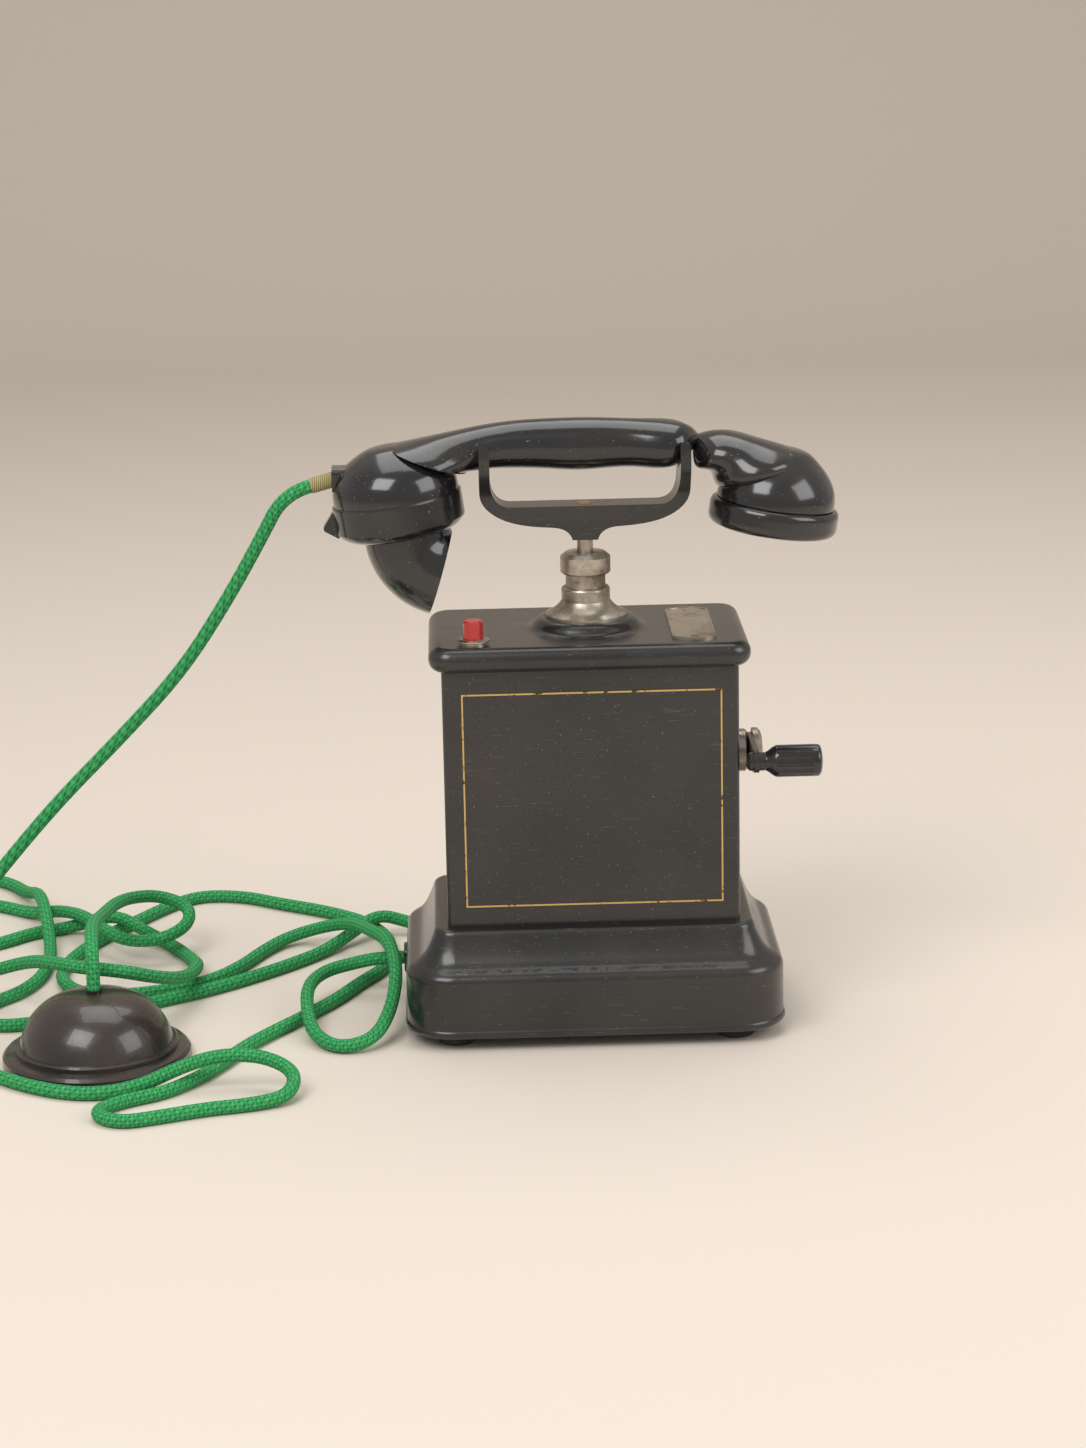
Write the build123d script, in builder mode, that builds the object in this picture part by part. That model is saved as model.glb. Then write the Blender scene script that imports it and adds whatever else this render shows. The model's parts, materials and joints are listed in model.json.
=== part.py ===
"""Magneto desk telephone: metal case on an ogee plinth, fork cradle, hand crank, bakelite handset,
braided handset and line cords, and the round terminal rosette that the line cord ends in.

Frame: +X to the right of the front, +Y to the back, +Z up, origin on the table under the middle of
the case. Millimetres throughout.
"""

import os
from math import atan2, cos, degrees, pi, radians, sin, tan

from build123d import *

# ---------------------------------------------------------------- driving sizes
slip = 0.3
# case
case_w, case_d = 146.0, 86.0
case_r = 3.0
sheet = 1.5
case_bottom, case_top = 58.3, 188.6
case_flange = 8.0
window_w, window_h, window_r = 104.0, 84.0, 6.0
window_z = 124.0
cover_lap, cover_thick = 9.0, 1.5
cover_screw_r, cover_screw_head_r, cover_screw_head = 1.6, 3.2, 2.2
chassis_thick = 2.0
chassis_screw_r, chassis_screw_head_r, chassis_screw_head = 1.8, 3.2, 2.2
chassis_screw_in = 6.0
# lid
lid_over = 6.1
lid_thick = 12.4
lid_r = 11.0
lid_nose = 5.9
lid_wall = 3.2
lip_drop, lip_thick = 6.0, 1.5
plate_w, plate_len, plate_bow, plate_t = 21.5, 70.0, 4.5, 0.8
plate_x, plate_y = 51.8, -3.0
plate_rim, plate_rim_h = 1.0, 0.4
pin_r, pin_head_r, pin_head, pin_in = 0.9, 1.5, 0.6, 5.5
# ogee plinth
base_out = 21.5
bead_out = 1.0
bead_h = 4.0
base_foot_z = 7.0
band_top = 34.5
base_wall = 2.0
base_rail = 9.0
plate_thick = 1.5
lug_w, lug_deep, lug_h = 10.0, 9.0, 10.0
lug_y = 14.0
base_screw_r, base_screw_head_r, base_screw_head = 1.8, 3.4, 2.0
foot_r, foot_in_x, foot_in_y = 9.5, 24.5, 19.0
foot_screw_r, foot_screw_head_r, foot_screw_head = 2.0, 4.0, 2.4
foot_nut_r, foot_nut = 3.6, 2.6
bush_r, bush_flange_r, bush_flange = 6.0, 8.2, 2.0
hand_bush_y, line_bush_x, bush_z = 28.0, -60.0, 20.0
# pillar
boss_r, boss_rise = 29.5, 5.6
tube_r = 7.0
cone_r, cone_h, cone_top_r = 20.5, 8.0, 12.1
cone_edge = 1.3
ring_h = 6.8
neck_r, neck_h = 9.9, 6.8
collar_r, collar_h = 12.5, 10.4
tube_nut_r, tube_nut = 11.0, 6.0
tube_below = 4.0
shaft_r = 4.0
shaft_fit = 0.06
# cradle fork
fork_x = 49.4
fork_half_y = 19.5
fork_bar_y = 7.5
fork_bar_top = 263.4
fork_bar_low = 252.6
fork_boss_low = 246.0
fork_boss_r = 6.3
prong_w = 5.2
prong_top = 295.3
cradle_lift = 6.0
fork_screw_r, fork_screw_len = 2.0, 12.0
stop_r, stop_h = 6.5, 2.5
spring_len, spring_r, spring_wire = 10.0, 6.3, 1.2
bracket_t, bracket_y = 2.0, 22.0
# handset
grip_clear = 0.45
mouth_x, mouth_z, mouth_tilt = -93.0, 269.05, 8.1
ear_x, ear_z, ear_tilt = 94.9, 261.8, -8.7
mouth_r, mouth_shoulder, mouth_crown = 31.2, [(26.6, -15.0), (15.9, -22.6)], 25.8
ear_r, ear_shoulder, ear_crown = 29.3, [(26.1, -12.9), (17.5, -22.5)], 27.6
mouth_pocket_r, mouth_pocket = 25.5, 12.0
ear_pocket_r, ear_pocket = 23.0, 11.0
spigot_r, spigot_h = 27.0, 6.5
collar_out_r = 32.3
collar_band = 13.2
collar_deep = 18.6
collar_low_r = 22.0
collar_bore_r, collar_floor = 27.0, 13.5
cap_r, cap_deep = 32.2, 14.0
cap_gap = 0.5
horn_r, horn_wall = 21.7, 2.2
horn_bend_r = 22.2
horn_sweep = 65.0
horn_off = 2.4
horn_start = 21.1
horn_flange_r, horn_flange = 24.0, 1.5
lug_tip, lug_half = 37.4, 4.0
diaphragm_t = 0.5
ear_hole_r, ear_hole_ring, ear_holes = 1.6, 8.0, 6
boss_left, boss_right = -124.3, -110.0
cord_boss_y, cord_boss_h, cord_boss_z = 7.0, 12.1, 278.4
whip_r, whip_len, whip_dip = 3.9, 11.0, 15.0
# crank and magneto
crank_z, crank_y = 134.5, 0.0
crank_throw, crank_dip = 38.0, 6.0
crank_shaft_r = 3.5
bearing_r, bearing_w, bearing_neck_r = 10.8, 7.0, 7.0
bearing_nut_r, bearing_nut_h = 9.5, 3.5
arm_gap, arm_t = 0.3, 2.5
arm_r, arm_end_r = 9.0, 5.6
hub_r, hub_w = 11.3, 4.7
pin_boss_r, pin_boss_w = 4.6, 3.3
pin_neck_w = 3.2
grip_r, grip_len, grip_cone = 8.0, 22.3, 6.0
grip_pin_r = 3.0
flutes, flute_r = 14, 1.0
gear_module = 1.0
drive_teeth, pinion_teeth = 50, 12
gear_face, gear_gap = 4.0, 2.5
addendum, dedendum = 0.8, 1.1
magneto_x, magneto_len, magneto_y = 0.0, 55.0, 30.0
end_plate, end_plate_h, end_foot = 3.0, 88.0, 8.0
armature_r, armature_gap, armature_end = 13.5, 0.5, 2.5
armature_shaft_r = 3.0
slot_half, slot_floor = 7.5, 4.0
pole_half_h, pole_out = 15.0, 18.0
magnet_t, magnet_w, magnet_count = 10.0, 15.0, 3
magnet_low, magnet_arch = 85.0, 128.0
# ringer in the plinth
gong_x, gong_y = 32.0, -20.0
gong_r, gong_h, gong_wall = 24.0, 12.0, 1.4
gong_rim_z = 19.0
gong_post_r, gong_screw_r = 4.0, 1.6
ringer_y, ringer_back = 24.0, 58.0
ringer_top = 37.0
ringer_iron = 2.0
ringer_half = 26.0
ringer_pin_r = 1.2
coil_x, coil_r, coil_z = 14.0, 10.0, 23.5
coil_core_r, coil_cheek = 3.5, 1.5
bar_t, bar_h = 2.4, 10.0
ball_r, rod_r = 3.5, 0.9
# speech circuit on the chassis
ind_x, ind_y, ind_len, ind_r = -37.0, -22.0, 50.0, 11.0
ind_cheek, ind_core_r = 3.0, 4.0
cap_w, cap_depth, cap_h = 46.0, 22.0, 62.0
cap_x, cap_y = -38.0, 26.0
strip_w, strip_d, strip_h = 50.0, 12.0, 8.0
strip_x, strip_y = -38.0, 2.0
# switch
leaf_w, leaf_t, leaf_gap, leaf_len = 6.0, 0.4, 2.0, 37.0
stack_w = 10.0
# button
button_x, button_y = -56.8, -35.0
button_r, button_h = 4.9, 9.0
button_ring_r, button_ring_low_r, button_ring_h = 8.2, 6.6, 3.0
button_travel = 3.0
button_flange_r, button_flange = 6.5, 2.0
button_spring_len = 8.0
# cords
cord_d = 6.8
wire_d = 1.5
# rosette
ros_x, ros_y = -248.5, -58.5
ros_r, ros_h = 46.5, 35.0
ros_dome_r = 38.0
ros_wall = 2.5
ros_lip_h, ros_step_h = 6.0, 10.0
ros_hole_r = 4.2
ros_lip_w = 2.5
ros_bush_h = 1.5

os.makedirs("parts", exist_ok=True)


def save(node, name):
    """Label a finished piece and write it."""
    node.part.label = name
    export_step(node.part, f"parts/{name}.step")


def corners(w, d, in_x, in_y):
    """Four places near the corners of a w x d rectangle."""
    return [(sx * (w / 2 - in_x), sy * (d / 2 - in_y)) for sx in (-1, 1) for sy in (-1, 1)]


def profile(plane, *points):
    """A closed polygon face on a plane."""
    with BuildSketch(plane) as shape:
        with BuildLine():
            Polyline(*points, close=True)
        make_face()
    return shape.sketch


def upright(x=0.0, y=0.0, z=0.0):
    """The plane facing the front: local x along X, local y along Z."""
    return Plane((x, y, z), x_dir=(1, 0, 0), z_dir=(0, -1, 0))


def sideways(x, y=0.0, z=0.0):
    """The plane facing right: local x along Y, local y along Z."""
    return Plane((x, y, z), x_dir=(0, 1, 0), z_dir=(1, 0, 0))


# ---------------------------------------------------------------- derived sizes
case_x, case_y = case_w / 2, case_d / 2
base_x, base_y = case_x + base_out, case_y + base_out
base_corner = case_r + base_out
base_inner = base_out - base_wall
lid_z0, lid_top = case_top, case_top + lid_thick
lid_w, lid_d = case_w + 2 * lid_over, case_d + 2 * lid_over
lid_under = lid_top - lid_wall
boss_top = lid_top + boss_rise
chassis_z = case_bottom + sheet
chassis_top = chassis_z + chassis_thick
floor_top = base_foot_z + plate_thick
ring_z = boss_top + cone_h
neck_z = ring_z + ring_h
collar_z = neck_z + neck_h
foot_places = corners(2 * base_x, 2 * base_y, foot_in_x, foot_in_y)
chassis_screws_at = corners(case_w, case_d, chassis_screw_in, chassis_screw_in)
lug_x = base_x - base_wall - lug_deep / 2
lug_places = [(sx * lug_x, sy * lug_y) for sx in (-1, 1) for sy in (-1, 1)]

# ---------------------------------------------------------------- plinth
# The wall section is swept once round the plan; u is measured outwards from the case wall.
with BuildPart() as base_shell:
    rail_in = 1.4
    with BuildLine() as plan:
        bx, by, br = base_x, base_y, base_corner
        Line((bx, 0), (bx, by - br))
        CenterArc((bx - br, by - br), br, 0, 90)
        Line((bx - br, by), (-bx + br, by))
        CenterArc((-bx + br, by - br), br, 90, 90)
        Line((-bx, by - br), (-bx, -by + br))
        CenterArc((-bx + br, -by + br), br, 180, 90)
        Line((-bx + br, -by), (bx - br, -by))
        CenterArc((bx - br, -by + br), br, 270, 90)
        Line((bx, -by + br), (bx, 0))
    with BuildSketch(upright(case_x)) as section:
        with BuildLine():
            top_in = (-rail_in, case_bottom)
            top_out = (4.2, case_bottom)
            cove_top = (8.0, case_bottom - 4.6)
            cove_end = (base_out - 4.9, band_top + 6.4)
            nose = (base_out, band_top)
            lip = (base_out, base_foot_z + bead_h)
            bead_low = (base_out, base_foot_z)
            Line(top_in, top_out)
            Spline(top_out, cove_top, tangents=((1, 0), (0.42, -1)))
            Spline(cove_top, cove_end, tangents=((0.42, -1), (1, -0.62)))
            Spline(cove_end, nose, tangents=((1, -0.62), (0, -1)))
            Line(nose, lip)
            ThreePointArc(lip, (base_out + bead_out, base_foot_z + bead_h / 2), bead_low)
            Polyline(
                bead_low,
                (base_inner, base_foot_z),
                (base_inner, band_top - 1.0),
                (base_out - 6.9, band_top + 4.1),
                (6.0, case_bottom - 5.6),
                (3.4, case_bottom - base_wall),
                (-rail_in, case_bottom - base_wall),
                top_in,
            )
        make_face()
    sweep(path=plan.line)
    with BuildSketch(Plane.XY.offset(case_bottom)):
        RectangleRounded(case_w - rail_in, case_d - rail_in, case_r)
        RectangleRounded(case_w - 2 * base_rail, case_d - 2 * base_rail, case_r, mode=Mode.SUBTRACT)
    extrude(amount=-base_wall)
    with BuildSketch(Plane.XY.offset(floor_top)):
        with Locations(*lug_places):
            Rectangle(lug_deep + 1.0, lug_w)
    extrude(amount=lug_h)
    with BuildSketch(Plane.XY.offset(floor_top)):
        with Locations(*lug_places):
            Circle(base_screw_r + slip)
    extrude(amount=lug_h - 2.0, mode=Mode.SUBTRACT)
    with BuildSketch(Plane.XY.offset(case_bottom)):
        with Locations(*chassis_screws_at):
            Circle(chassis_screw_r + slip)
    extrude(amount=-base_wall, mode=Mode.SUBTRACT)
    with BuildSketch(sideways(-base_x)):
        with Locations((hand_bush_y, bush_z)):
            Circle(bush_r + slip)
    extrude(amount=base_wall, mode=Mode.SUBTRACT)
    with BuildSketch(upright(0, base_y)):
        with Locations((line_bush_x, bush_z)):
            Circle(bush_r + slip)
    extrude(amount=base_wall, mode=Mode.SUBTRACT)
save(base_shell, "base_shell")

with BuildPart() as base_plate:
    plate_slip = base_wall + slip
    with BuildSketch(Plane.XY.offset(base_foot_z)):
        RectangleRounded(2 * (base_x - plate_slip), 2 * (base_y - plate_slip), base_corner - plate_slip)
        for side in (-1, 1):
            with Locations((side * gong_x, gong_y)):
                with PolarLocations(gong_r * 0.6, 6):
                    SlotOverall(12, 3, mode=Mode.SUBTRACT)
        with Locations(*foot_places):
            Circle(foot_screw_r + slip, mode=Mode.SUBTRACT)
        with Locations(*lug_places):
            Circle(base_screw_r + slip, mode=Mode.SUBTRACT)
    extrude(amount=plate_thick)
save(base_plate, "base_plate")

with BuildPart() as base_screws:
    with BuildSketch(Plane.XY.offset(base_foot_z)):
        with Locations(*lug_places):
            Circle(base_screw_head_r)
    extrude(amount=-base_screw_head)
    fillet(base_screws.edges().group_by(Axis.Z)[0], 0.8)
    with BuildSketch(Plane.XY.offset(base_foot_z - base_screw_head)):
        with Locations(*lug_places):
            Rectangle(2 * base_screw_head_r, 0.9)
    extrude(amount=0.9, mode=Mode.SUBTRACT)
    with BuildSketch(Plane.XY.offset(base_foot_z)):
        with Locations(*lug_places):
            Circle(base_screw_r)
    extrude(amount=plate_thick + lug_h - 3.0)
    with BuildSketch(Plane.XY.offset(slip)):
        with Locations(*foot_places):
            Circle(foot_screw_head_r)
    extrude(amount=foot_screw_head)
    with BuildSketch(Plane.XY.offset(slip)):
        with Locations(*foot_places):
            Rectangle(2 * foot_screw_head_r, 0.9)
    extrude(amount=1.2, mode=Mode.SUBTRACT)
    with BuildSketch(Plane.XY.offset(slip + foot_screw_head)):
        with Locations(*foot_places):
            Circle(foot_screw_r)
    extrude(amount=floor_top - foot_screw_head - slip + foot_nut + 1.0)
    with BuildSketch(Plane.XY.offset(floor_top)):
        with Locations(*foot_places):
            RegularPolygon(foot_nut_r, 6)
    extrude(amount=foot_nut)
save(base_screws, "base_screws")

with BuildPart() as feet:
    with BuildSketch(Plane.XY):
        with Locations(*foot_places):
            Circle(foot_r)
    extrude(amount=base_foot_z)
    fillet(feet.edges().group_by(Axis.Z)[0], 1.2)
    with BuildSketch(Plane.XY):
        with Locations(*foot_places):
            Circle(foot_screw_head_r + slip)
    extrude(amount=foot_screw_head + slip, mode=Mode.SUBTRACT)
    with BuildSketch(Plane.XY):
        with Locations(*foot_places):
            Circle(foot_screw_r + slip)
    extrude(amount=base_foot_z, mode=Mode.SUBTRACT)
save(feet, "feet")

# ---------------------------------------------------------------- case
cover_w, cover_h = window_w + 2 * cover_lap, window_h + 2 * cover_lap
cover_screws_at = [(x, window_z + z) for x, z in corners(cover_w, cover_h, cover_lap / 2, cover_lap / 2)]
with BuildPart() as case_shell:
    with BuildSketch(Plane.XY.offset(case_bottom)):
        RectangleRounded(case_w, case_d, case_r)
    extrude(amount=case_top - case_bottom)
    with BuildSketch(Plane.XY.offset(chassis_z)):
        RectangleRounded(case_w - 2 * sheet, case_d - 2 * sheet, case_r - sheet)
    extrude(amount=case_top - chassis_z, mode=Mode.SUBTRACT)
    with BuildSketch(Plane.XY.offset(case_bottom)):
        flange = sheet + case_flange
        RectangleRounded(case_w - 2 * flange, case_d - 2 * flange, case_r)
        with Locations(*chassis_screws_at):
            Circle(chassis_screw_r + slip)
    extrude(amount=sheet, mode=Mode.SUBTRACT)
    with BuildSketch(upright(0, case_y)):
        with Locations((0, window_z)):
            RectangleRounded(window_w, window_h, window_r)
        with Locations(*cover_screws_at):
            Circle(cover_screw_r + slip)
    extrude(amount=sheet, mode=Mode.SUBTRACT)
    with BuildSketch(sideways(case_x)):
        with Locations((crank_y, crank_z)):
            Circle(bearing_neck_r + slip)
    extrude(amount=-sheet, mode=Mode.SUBTRACT)
save(case_shell, "case_shell")

with BuildPart() as rear_cover:
    with BuildSketch(upright(0, case_y)):
        with Locations((0, window_z)):
            RectangleRounded(cover_w, cover_h, window_r)
        with Locations(*cover_screws_at):
            Circle(cover_screw_r + slip, mode=Mode.SUBTRACT)
    extrude(amount=-cover_thick)
save(rear_cover, "rear_cover")

with BuildPart() as case_screws:
    cover_face = case_y + cover_thick
    with BuildSketch(upright(0, cover_face)):
        with Locations(*cover_screws_at):
            Circle(cover_screw_head_r)
    extrude(amount=-cover_screw_head)
    fillet(case_screws.edges().group_by(Axis.Y)[-1], 1.0)
    with BuildSketch(upright(0, cover_face + cover_screw_head)):
        with Locations(*cover_screws_at):
            Rectangle(2 * cover_screw_head_r, 0.9)
    extrude(amount=0.9, mode=Mode.SUBTRACT)
    with BuildSketch(upright(0, cover_face)):
        with Locations(*cover_screws_at):
            Circle(cover_screw_r)
    extrude(amount=cover_thick + sheet + 2.0)
    with BuildSketch(Plane.XY.offset(chassis_top)):
        with Locations(*chassis_screws_at):
            Circle(chassis_screw_head_r)
    extrude(amount=chassis_screw_head)
    with BuildSketch(Plane.XY.offset(chassis_top + chassis_screw_head)):
        with Locations(*chassis_screws_at):
            Rectangle(2 * chassis_screw_head_r, 0.9)
    extrude(amount=-0.9, mode=Mode.SUBTRACT)
    with BuildSketch(Plane.XY.offset(chassis_top)):
        with Locations(*chassis_screws_at):
            Circle(chassis_screw_r)
    extrude(amount=-chassis_thick - sheet - base_wall - 2.0)
save(case_screws, "case_screws")

with BuildPart() as chassis_plate:
    with BuildSketch(Plane.XY.offset(chassis_z)):
        inner_slip = 2 * (sheet + slip)
        RectangleRounded(case_w - inner_slip, case_d - inner_slip, case_r - sheet)
        with Locations(*chassis_screws_at):
            Circle(chassis_screw_r + slip, mode=Mode.SUBTRACT)
    extrude(amount=chassis_thick)
save(chassis_plate, "chassis_plate")

# ---------------------------------------------------------------- lid with its pressed boss
plate_pins_at = [(plate_x, plate_y + side * (plate_len / 2 - pin_in)) for side in (-1, 1)]
with BuildPart() as lid:
    with BuildSketch(Plane.XY.offset(lid_z0)):
        RectangleRounded(lid_w, lid_d, lid_r)
    extrude(amount=lid_thick)
    fillet(lid.faces().filter_by(Axis.Z).edges(), lid_nose)
    with BuildSketch(upright()):
        with BuildLine():
            flat_end = (cone_r + 0.8, boss_top)
            side = (boss_r - 2.6, lid_top + 1.7)
            skirt = (boss_r + 2.0, lid_top)
            Line((0, lid_top - 1), (0, boss_top))
            Line((0, boss_top), flat_end)
            Spline(flat_end, side, tangents=((1, -0.05), (0.75, -1)))
            Spline(side, skirt, tangents=((0.75, -1), (1, 0)))
            Line(skirt, (skirt[0], lid_top - 1))
            Line((skirt[0], lid_top - 1), (0, lid_top - 1))
        make_face()
    revolve(axis=Axis.Z)
    lip_w, lip_d = case_w - 2 * (sheet + slip), case_d - 2 * (sheet + slip)
    with BuildSketch(Plane.XY.offset(lid_z0 - lip_drop)):
        RectangleRounded(lip_w, lip_d, case_r - sheet)
    extrude(amount=lip_drop + 1.0)
    with BuildSketch(Plane.XY.offset(lid_z0 - lip_drop)):
        RectangleRounded(lip_w - 2 * lip_thick, lip_d - 2 * lip_thick, case_r - sheet)
    extrude(amount=lip_drop + lid_thick - lid_wall, mode=Mode.SUBTRACT)
    with BuildSketch(Plane.XY.offset(boss_top)):
        Circle(tube_r + slip)
    extrude(amount=-boss_rise - lid_wall, mode=Mode.SUBTRACT)
    with BuildSketch(Plane.XY.offset(lid_top)):
        with Locations((button_x, button_y)):
            Circle(button_r + slip)
    extrude(amount=-lid_wall, mode=Mode.SUBTRACT)
    with BuildSketch(Plane.XY.offset(lid_under)):
        with Locations((button_x, button_y)):
            Circle(button_flange_r + 1.0)
    extrude(amount=-(lid_under - lid_z0 + lip_drop), mode=Mode.SUBTRACT)
    with BuildSketch(Plane.XY.offset(lid_top)):
        with Locations(*plate_pins_at):
            Circle(pin_r)
    extrude(amount=-lid_wall, mode=Mode.SUBTRACT)
save(lid, "lid")

# ---------------------------------------------------------------- bare name plate
def plate_shape(inset):
    """The plate's outline with bowed ends, drawn in on every side."""
    x0, x1 = plate_x - plate_w / 2 + inset, plate_x + plate_w / 2 - inset
    y0, y1 = plate_y - plate_len / 2 + inset, plate_y + plate_len / 2 - inset
    with BuildSketch(Plane.XY.offset(lid_top + plate_t)) as shape:
        with BuildLine():
            Line((x0, y0 + plate_bow), (x0, y1 - plate_bow))
            ThreePointArc((x0, y1 - plate_bow), (plate_x, y1), (x1, y1 - plate_bow))
            Line((x1, y1 - plate_bow), (x1, y0 + plate_bow))
            ThreePointArc((x1, y0 + plate_bow), (plate_x, y0), (x0, y0 + plate_bow))
        make_face()
    return shape.sketch


with BuildPart() as name_plate:
    extrude(plate_shape(0), amount=-plate_t)
    extrude(plate_shape(0), amount=plate_rim_h)
    extrude(plate_shape(plate_rim), amount=plate_rim_h, mode=Mode.SUBTRACT)
    with BuildSketch(Plane.XY.offset(lid_top)):
        with Locations(*plate_pins_at):
            Circle(pin_r)
    extrude(amount=plate_t, mode=Mode.SUBTRACT)
    with BuildSketch(Plane.XY.offset(lid_top + plate_t)):
        with Locations(*plate_pins_at):
            Circle(pin_head_r)
    extrude(amount=pin_head)
    with BuildSketch(Plane.XY.offset(lid_top + plate_t)):
        with Locations(*plate_pins_at):
            Circle(pin_r)
    extrude(amount=-plate_t - lid_wall)
save(name_plate, "name_plate")

# ---------------------------------------------------------------- pillar
with BuildPart() as pillar_cone:
    with BuildSketch(upright(0, 0, boss_top)):
        with BuildLine():
            bore = tube_r + slip
            Polyline((bore, 0), (cone_r, 0), (cone_r, cone_edge))
            Spline((cone_r, cone_edge), (cone_top_r, cone_h), tangents=((-1, 0.35), (-0.6, 1)))
            Line((cone_top_r, cone_h), (cone_top_r, cone_h + ring_h - 1.6))
            TangentArc(
                (cone_top_r, cone_h + ring_h - 1.6), (cone_top_r - 1.6, cone_h + ring_h), tangent=(0, 1)
            )
            Polyline((cone_top_r - 1.6, cone_h + ring_h), (bore, cone_h + ring_h), (bore, 0))
        make_face()
    revolve(axis=Axis.Z)
save(pillar_cone, "pillar_cone")

with BuildPart() as pillar_tube:
    tube_low = lid_under - tube_nut - tube_below
    bore = shaft_r + shaft_fit
    revolve(
        profile(
            upright(),
            (bore, tube_low),
            (tube_r, tube_low),
            (tube_r, neck_z),
            (neck_r, neck_z),
            (neck_r, collar_z),
            (tube_r, collar_z),
            (tube_r, collar_z + collar_h - 1.5),
            (bore, collar_z + collar_h - 1.5),
        ),
        axis=Axis.Z,
    )
save(pillar_tube, "pillar_tube")

with BuildPart() as pillar_collar:
    revolve(
        profile(
            upright(0, 0, collar_z),
            (tube_r, 0),
            (collar_r - 0.8, 0),
            (collar_r, 0.8),
            (collar_r, collar_h - 2.0),
            (collar_r - 2.4, collar_h),
            (shaft_r + slip, collar_h),
            (shaft_r + slip, collar_h - 1.5),
            (tube_r, collar_h - 1.5),
        ),
        axis=Axis.Z,
    )
save(pillar_collar, "pillar_collar")

# ---------------------------------------------------------------- handset body
# Each section: outer point (x, z), inner point (x, z) and half width across, from mouth to ear.
grip_sections = [
    (-97.0, 294.2, -57.8, 280.4, 24.3),
    (-80.0, 297.6, -54.5, 281.2, 19.5),
    (-62.6, 301.1, -50.0, 281.6, 15.5),
    (-45.0, 304.1, -43.0, 281.8, 13.8),
    (-20.0, 305.9, -20.0, 281.1, 13.4),
    (3.0, 306.0, 0.0, 280.0, 13.5),
    (25.0, 304.9, 24.0, 280.9, 13.4),
    (50.0, 301.9, 45.0, 281.4, 13.8),
    (70.0, 298.0, 55.0, 281.0, 15.5),
    (88.0, 293.3, 60.0, 279.0, 19.7),
    (103.0, 288.2, 63.5, 275.8, 24.3),
    (110.0, 281.0, 66.5, 270.0, 22.0),
]


def grip_at(x):
    """Lowest z, highest z and half width of the grip at a place along X."""
    middles = [((s[0] + s[2]) / 2, s[4]) for s in grip_sections]
    edges = [(s[2], s[3]) for s in grip_sections], [(s[0], s[1]) for s in grip_sections], middles
    found = []
    for edge in edges:
        for (xa, va), (xb, vb) in zip(edge, edge[1:]):
            if xa <= x <= xb:
                found.append(va + (x - xa) / (xb - xa) * (vb - va))
    return found


def cap_plane(x, z, tilt):
    """The plane of a handset cup's rim: local x outwards to +X, local y down into the cup."""
    t = radians(tilt)
    return Plane((x, 0, z), x_dir=(cos(t), 0, sin(t)), z_dir=(0, 1, 0))


def cap_point(x, z, tilt, off, deep):
    """The point off to the right of a cup's middle line and deep below its rim."""
    t = radians(tilt)
    return (x + off * cos(t) + deep * sin(t), 0, z + off * sin(t) - deep * cos(t))


def cap_axis(x, z, tilt, off=0.0):
    """The line down out of a cup, off to the right of its middle."""
    t = radians(tilt)
    return Axis(cap_point(x, z, tilt, off, 0), (sin(t), 0, -cos(t)))


mouth = (mouth_x, mouth_z, mouth_tilt)
ear = (ear_x, ear_z, ear_tilt)
with BuildPart() as handset_body:
    for outer_x, outer_z, inner_x, inner_z, half_w in grip_sections:
        dx, dz = outer_x - inner_x, outer_z - inner_z
        height = (dx * dx + dz * dz) ** 0.5
        centre = ((outer_x + inner_x) / 2, 0, (outer_z + inner_z) / 2)
        with BuildSketch(Plane(centre, x_dir=(0, 1, 0), z_dir=(dz, 0, -dx))):
            Ellipse(half_w, height / 2)
    loft()
    for cup, rim_r, shoulder, crown in (
        (mouth, mouth_r, mouth_shoulder, mouth_crown),
        (ear, ear_r, ear_shoulder, ear_crown),
    ):
        with BuildSketch(cap_plane(*cup)):
            with BuildLine():
                Spline((rim_r, 0), *shoulder, (0, -crown), tangents=((0.08, -1), (-1, 0)))
                Polyline((0, -crown), (0, 0), (rim_r, 0))
            make_face()
        revolve(axis=cap_axis(*cup))
    with BuildSketch(sideways(boss_right, 0, cord_boss_z)):
        RectangleRounded(2 * cord_boss_y, cord_boss_h, 3.0)
    extrude(amount=boss_left - boss_right)
    revolve(profile(cap_plane(*ear), (0, -1), (spigot_r, -1), (spigot_r, spigot_h), (0, spigot_h)), cap_axis(*ear))
    revolve(
        profile(
            cap_plane(*mouth), (0, 1), (mouth_pocket_r, 1), (mouth_pocket_r, -mouth_pocket), (0, -mouth_pocket)
        ),
        cap_axis(*mouth),
        mode=Mode.SUBTRACT,
    )
    revolve(
        profile(
            cap_plane(*ear), (0, 9), (ear_pocket_r, 9), (ear_pocket_r, -ear_pocket), (0, -ear_pocket)
        ),
        cap_axis(*ear),
        mode=Mode.SUBTRACT,
    )
save(handset_body, "handset_body")

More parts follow.
